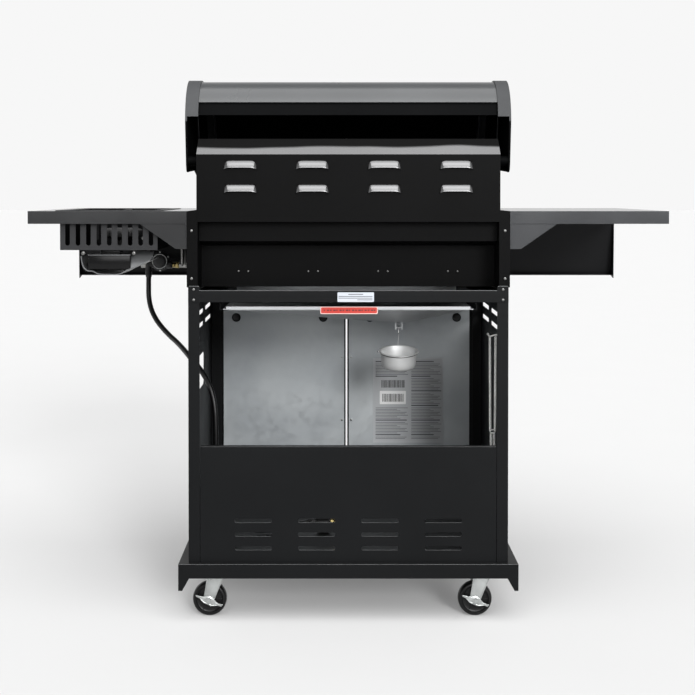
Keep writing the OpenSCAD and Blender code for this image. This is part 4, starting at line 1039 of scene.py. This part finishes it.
def make_labels():
    """Film labels with plain rules and blocks where the real ones have wording."""
    high = box("rear_top_rail")[1]
    rail = Build("rail_label", white_film)
    z0, z1, y = 651.7, 671.2, high.y
    flat_sheet(rail, (-52, y, z0), (22, y, z1), 1, 0.05)
    rail.paint(ink_grey)
    flat_sheet(rail, (-30, y, z1 - 4.6), (0, y, z1 - 3.2), 1, 0.2, 0.3)
    for k, right in enumerate((20, 20, -18)):
        z = z1 - (8.2 + 3.5 * k)
        flat_sheet(rail, (-49, y, z - 0.6), (right, y, z + 0.6), 1, 0.2, 0.3)
    rail.finish("rear_top_rail", replaces=False, slot="label_white", merge=False)

    high = box("drip_tray")[1]
    tag = Build("tray_label", red_border)
    y, z0, z1 = high.y, 626, 641
    flat_sheet(tag, (-60, y, z0), (57, y, z1), 1, 0.1, 2.5)
    tag.paint(red_film)
    flat_sheet(tag, (-58.4, y, z0 + 1.6), (55.4, y, z1 - 1.6), 1, 0.25, 2)
    tag.paint(red_ink)
    for k in range(17):
        width = (2.6, 4.4, 3.4, 5.2)[k % 4]
        x = 50 - k * 6.4
        flat_sheet(tag, ((x - width), y, z0 + 6.2), (x, y, z0 + 9), 1, 0.4, 0.3)
    tag.finish("drip_tray", replaces=False, slot="label_red", merge=False)

    high = box("door_liner_left")[1]
    film = Build("liner_label", clear_film)
    y = high.y
    x0, x1, z0, z1 = -232, -64, 271, 475
    flat_sheet(film, (x0, y, z0), (x1, y, z1), 1, 0.1)
    film.paint(sticker)
    flat_sheet(film, (-143, y, 364), (-80, y, 396), 1, 0.25)
    film.paint(ink_black)
    for low_z, high_z, x, count in ((370, 389, -86.0, 24), (404, 422, -84.0, 26)):
        for k in range(count):
            width = (1.2, 0.7, 1.9, 0.9, 1.4)[(k * 3) % 5]
            flat_sheet(film, ((x - width), y, low_z), (x, y, high_z), 1, 0.4, 0.2)
            x -= width + (0.9, 1.3, 0.7)[k % 3]
    film.paint(ink_grey)
    for left, right, printed in ((-228, -156, True), (-148, -70, False)):
        z, row = 468.0, 0
        while z > 278:
            bold = row % 9 == 0
            width = right - left - (18, 3, 7, 0, 26)[row % 5]
            if printed or not 358 < z < 432:
                flat_sheet(film, ((right - width), y, (z - (2.4 if bold else 1.0))), (right, y, z), 1, 0.25, 0.3)
            z -= 6.5 if bold else 3.6
            row += 1
    film.finish("door_liner_left", replaces=False, slot="label_white", merge=False)


# ---------------------------------------------------------------- burners and handles

def make_side_burner():
    """The side burner: ported head, mixing tube, moulded air box, curved pan, and the iron frame with its fingers."""
    box_low, box_high = box("side_burner_box")
    x, y, _ = (box_low + box_high) / 2
    floor, top = box_low.z + 1.5, box("side_burner")[1].z
    burner = Build("side_burner_head", cast_iron).at((x, y, floor))
    burner.turned([(0, 0), (20, 0), (20, 14), (24, 17), (43, 19), (45.4, 21), (46, 23), (46, 33), (44.6, 35.4),
                   (40, 37.6), (22, 39.6), (0, 39.9)], 96, 36, 1.6)
    # Dark discs for the ports round the head: painted shade
    burner.paint(hole_shade)
    for k in range(36):
        burner.at((x, y, floor + 28), direction(k * 10 + 5))
        burner.disc(1.3, 44.5, 46.05, 10)
    # Moulded air box with a metal edge along its top, and its neck
    burner.at().paint(box_gloss)
    burner.slab((447, 190, 716), (534, 250, 744.6), 2.4)
    burner.slab((470, 200, 745), (510, 240, 756), 1)
    burner.paint(pan_grey)
    burner.slab((447, 191, 744.2), (534, 250, 746.2), 0.5)
    outline = smooth([(549, 742, 0), (545, 722, 0), (536, 712.6, 0), (524, 711, 0), (512, 705.4, 0), (492, 704.5, 0),
                      (471, 704.8, 0), (454, 713, 0), (430, 723, 0), (407, 733, 0)], 5)
    lower = [(p.x, p.y) for p in outline]
    upper = [(p.x - (1.6 if p.x > 538 else 0), (p.y + 2)) for p in outline]
    burner.place = UPRIGHT
    for k in range(len(lower) - 1):
        burner.prism([lower[k], lower[k + 1], upper[k + 1], upper[k]], -250, -120)
    # Curved end of the pan beside the air box, that leans back towards its top
    burner.at()
    slope = [(456, 713), (452, 733), (446, 752), (401, 752), (404, 742), (407, 733), (430, 723)]
    front = [(px, (249 - (pz - 713) * 0.55), pz) for px, pz in slope]
    back = [(px, py - 1.4, pz) for px, py, pz in front]
    count = len(slope)
    burner.add(front + back, [list(range(count)), list(range(2 * count - 1, count - 1, -1))]
               + [(k, (k + 1) % count, count + (k + 1) % count, count + k) for k in range(count)])
    burner.paint(ring_wire)
    for bolt_x, bolt_z in ((544, 749), (440, 749)):
        burner.at((bolt_x, 246, bolt_z), (0, 1, 0))
        burner.prism(hexagon(7), 0, 3.4, 0.4)
    burner.paint(pipe_steel)
    burner.at().tube([(x, 190, 728), (x, 60, 730.4), (x, -150, 734.2), (x, -199, 735)], [10.8, 10.8, 10.8, 11], 32)
    # A dark patch for the slot on top of the mixing tube: painted shade
    burner.paint(hole_shade)
    burner.slab((x - 3, -188, 745.4), (x + 3, -166, 745.9))
    # Iron frame and fingers
    burner.paint(cast_iron).at((x, y, 0))
    wide, deep = 91, 125
    rim, seat = top - 2, top - 8
    for side in (1, -1):
        near, far = sorted((side * deep, side * (deep - 7)))
        burner.slab((-wide, near, seat), (wide, far, rim), 1.2)
        ends = sorted((side * wide, side * (wide - 7)))
        burner.slab((ends[0], -deep + 6.8, seat), (ends[1], deep - 6.8, rim), 1.2)
    for turn, reach in ((0, 90), (180, 90), (90, 124), (270, 124)):
        burner.at((x, y, 0), (0, 0, 1), turn)
        burner.slab((28, -3, top - 8), (reach, 3, top), 1.3)
    burner.finish("side_burner")


BURNER_RADIUS = 12.5
BURNER_LENGTH = 396
BURNER_HEIGHT = 735
BURNER_PORTS = 44
PORT_ANGLE = 62


def make_burner_tubes():
    """The main burners: tubes with a flared mouth, air shutters, two rows of ports and a rear bracket."""
    low, high = box("burner_tubes")
    tubes = Build("burner_tube_set", stainless)
    radius, length = BURNER_RADIUS, BURNER_LENGTH
    for which in "1234":
        x, z = spot("knob_turn_" + which).x, BURNER_HEIGHT
        tubes.paint(stainless).at((x, low.y, z), (0, 1, 0))
        tubes.turned([(10.4, 60), (10.6, 6), (11.6, 0.4), (12.2, 0), (radius, 0.8), (radius, length - 6),
                      (11, length - 1.4), (9, length), (0, length)], 48)
        # A dark disc inside the mouth, dark discs for the ports and dark patches for the shutter openings: painted
        # shade
        tubes.paint(hole_shade).turned([(10.4, 60), (0, 60)], 48)
        for port in range(BURNER_PORTS):
            y = low.y + (46 + port * 7.6)
            for side in (1, -1):
                out = Vector((side * math.sin(math.radians(PORT_ANGLE)), 0, math.cos(math.radians(PORT_ANGLE))))
                tubes.at((x, y, z), out)
                tubes.turned([(0, radius - 0.4), (1.1, radius - 0.4), (1.1, radius + 0.04), (0, radius + 0.05)], 8)
        for side in (1, -1):
            tubes.at((x, low.y + 14, z), (side, 0, 0))
            tubes.slab((-3, -7, radius - 0.9), (3, 7, radius + 0.05), 0.2)
        tubes.paint(stainless).at()
        tubes.slab((x - 16, 188, 698), (x + 16, high.y, 748), 0.8)
    tubes.finish("burner_tubes", merge=False)


def make_handle(node, bar, post, inset):
    """A round bar with rounded ends on two posts that flare where they meet the bar and the sheet."""
    low, high = box(node)
    y, z = low.y + bar, (low.z + high.z) / 2
    length = high.x - low.x
    grip = Build(node + "_bar", brushed).at((low.x, y, z), (1, 0, 0))
    e = bar * 0.22
    grip.turned([(0, 0), (bar - 1.6 * e, 0), (bar - e * 0.5, e * 0.4), (bar, 1.4 * e), (bar, length - 1.4 * e),
                 (bar - e * 0.5, length - e * 0.4), (bar - 1.6 * e, length), (0, length)], 64)
    for x in (low.x + inset, high.x - inset):
        deep = high.y - y
        grip.at((x, y, z), (0, 1, 0))
        grip.turned([(0, 0), (post, 0), (post, bar), (post * 0.94, bar + 2), (post * 0.94, deep - 5),
                     (post, deep - 3), (post, deep), (0, deep)], 40)
        grip.at((x, y, z), (1, 0, 0))
        grip.turned([(bar - 0.6, -post * 1.25), (bar + 0.02, -post * 1.2), (bar + 0.02, post * 1.2),
                     (bar - 0.6, post * 1.25)], 64)
    grip.finish(node)


def make_liner_fittings():
    """Small screws beside the gap between the doors, and rubber plugs over the ends of the handle screws."""
    for side, name in ((1, "right"), (-1, "left")):
        low, high = box("door_liner_" + name)
        handle_low, handle_high = box("door_handle_" + name)
        fittings = Build("liner_fittings_" + name, zinc)
        for z in (478, 326):
            screw_head(fittings, (side * 11, high.y, z), (0, 1, 0), 2.6, 1.3)
        fittings.paint(rubber)
        for x in (handle_low.x + 15, handle_high.x - 15):
            fittings.at((x, low.y, (handle_low.z + handle_high.z) / 2), (0, 1, 0))
            fittings.turned([(0, -2), (9, -2), (9.6, -1), (8.2, -0.2), (5, -0.9), (0, -1.2)], 32)
        fittings.finish("door_liner_" + name, replaces=False, slot="pipe_steel", merge=False)


def make_shield():
    """The rear shield without its plain louvers, bent over into its glossy sloping flange."""
    wall = louver_wall()
    bm = clean_copy("louver_panel")
    proud = [f for f in bm.faces if f.calc_center_median().y / MM > wall + 0.2]
    bmesh.ops.delete(bm, geom=proud, context="FACES")
    piece = broken_edges(bm, "rear_shield", 0.45)
    piece.data.materials.append(box_enamel)
    # The flange look carries painted shade towards its upper edge
    repaint(piece, flange_enamel, lambda face: face.center.z / MM > 940 and face.normal.z > 0.05)
    adopt(piece, "louver_panel")


def below_band(face):
    """The faces of the hood's end caps that take the black look: below the bands, but for the outer faces."""
    inward = face.normal.x * face.center.x < -0.2 * abs(face.center.x)
    edge = abs(face.normal.x) < 0.6 and face.center.y / MM > 100 and face.center.z / MM < 1008
    return face.center.z / MM < 1030 and (inward or edge)


def refine_painted():
    """The sheet parts that wear two looks, and the tray."""
    repaint(refine("hood_caps", width=1.2, segments=3), liner_black, below_band)
    refine("drip_tray", tray_zinc)
    repaint(refine("side_burner_box", burner_grey), liner_black,
            lambda face: face.center.y / MM < 259.5 and face.center.z / MM < 835.5 and face.normal.z > -0.5)
    # Their upward and rearward bevel faces take a paler grey: painted highlight
    for node in ("rear_lower_panel", "rear_top_rail", "base_shelf"):
        repaint(refine(node, width=0.9), painted_edge_highlight, lambda face: face.normal.y > 0.3 and face.normal.z > 0.3)
    # The right shelf wears the darker copy of the shelf grey: painted shade
    for node, surface in (("side_shelf_right", shelf_painted_shade), ("side_shelf_left", shelf_grey)):
        level = box(node)[1].z - 1
        repaint(refine(node, surface), shelf_top, lambda face: face.normal.z > 0.9 and face.center.z / MM > level)


# ---------------------------------------------------------------- assembly

for which in ("1", "2", "3", "4", "side"):
    make_knob(which)
    panel_ring(which, "shelf_fascias" if which == "side" else "control_panel")
make_button()
make_thermometer()
make_louvers()
make_shield()
for corner in CORNERS:
    make_wheel(corner)
    make_fork(corner)
make_lever("right")
make_lever("left")
make_plates()
make_inlet()
make_regulator()
ferrule = make_ferrule()
connector = make_connector()
make_cup()
make_chain()
make_screws()
make_labels()
make_side_burner()
make_burner_tubes()
make_handle("hood_handle", 12, 9, 35)
make_handle("door_handle_right", 7, 5, 15)
make_handle("door_handle_left", 7, 5, 15)
make_liner_fittings()

refine_painted()
shown = {node for piece in bpy.data.objects for node in piece.get("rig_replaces", [])}
for node in SLOTS:
    if node not in shown:
        refine(node)
hose.data.materials.append(rubber)


# ---------------------------------------------------------------- studio

SKY = ((0.3, 0.93), (0.75, 0.3))  # Height in the sky and its brightness
FLOOR_SIZE = 120.0
GRILL_MIDDLE = (0, 0, 0.9)
# Name, energy, angle in degrees, and the direction that the light comes from
SUNS = (("key", 2.3, 60, (-0.06, 0.5, 0.85)), ("low", 2.0, 16, (-0.35, 1.0, 0.36)))
# Name, middle, width, height and brightness; the flag is a dark card that keeps the sky off the rear sheets
CARDS = (("card_high", (0.0, 3.0, 5.0), 5.0, 1.3, 4.6), ("card_low", (-0.8, 5.0, 2.2), 6.0, 2.2, 5.0),
         ("card_over", (0.0, 0.1, 4.5), 5.0, 2.5, 2.5), ("flag_rear", (0.0, 7.0, 1.0), 9.0, 3.4, 0.05))


def plane(name, width, height, surface):
    """A rectangle about the origin, in metres."""
    mesh = bpy.data.meshes.new(name)
    w, h = width / 2, height / 2
    mesh.from_pydata([(-w, -h, 0), (w, -h, 0), (w, h, 0), (-w, h, 0)], [], [(0, 1, 2, 3)])
    mesh.materials.append(surface)
    return new_object(name, mesh)


def make_card(name, center, width, height, strength):
    """A soft box that only shows in reflections, facing the middle of the grill."""
    glow, _, shader = principled(name)
    set_inputs(shader, {"Base Color": (0, 0, 0, 1), "Specular IOR Level": 0.0, "Emission Color": (1, 1, 1, 1),
                        "Emission Strength": strength})
    card = plane(name, width, height, glow)
    card.location = center
    card.rotation_euler = (Vector(GRILL_MIDDLE) - Vector(center)).to_track_quat("Z", "Y").to_euler()
    card.visible_camera = card.visible_diffuse = card.visible_transmission = card.visible_shadow = False


def make_studio():
    """A pale floor under an even sky, with broad soft lights over the grill."""
    scene = bpy.context.scene
    scene.view_settings.view_transform = "Standard"
    world = bpy.data.worlds.new("studio")
    scene.world = world
    world.use_nodes = True
    tree = world.node_tree
    sky = tree.nodes["Background"]
    place = tree.nodes.new("ShaderNodeTexCoord").outputs["Generated"]
    height = shader_node(tree, "SeparateXYZ", links={"Vector": place})
    ramp = shader_node(tree, "ValToRGB", links={"Fac": height.outputs["Z"]})
    for stop, (position, shade) in zip(ramp.color_ramp.elements, SKY):
        stop.position = position
        stop.color = (shade, shade, shade, 1)
    tree.links.new(ramp.outputs["Color"], sky.inputs["Color"])

    paper = look("paper", (0.62, 0.62, 0.62), 0.9, specular=0.0, vary=0.004, bump=0.0)
    set_inputs(paper.node_tree.nodes["Principled BSDF"], {"Emission Color": (1, 1, 1, 1), "Emission Strength": 0.135})
    floor = plane("floor", FLOOR_SIZE, FLOOR_SIZE, paper)

    for name, energy, angle, source in SUNS:
        sun = bpy.data.lights.new(name, "SUN")
        sun.energy = energy
        sun.angle = math.radians(angle)
        new_object(name, sun).rotation_euler = Vector(source).to_track_quat("Z", "Y").to_euler()
    for card in CARDS:
        make_card(*card)


make_studio()
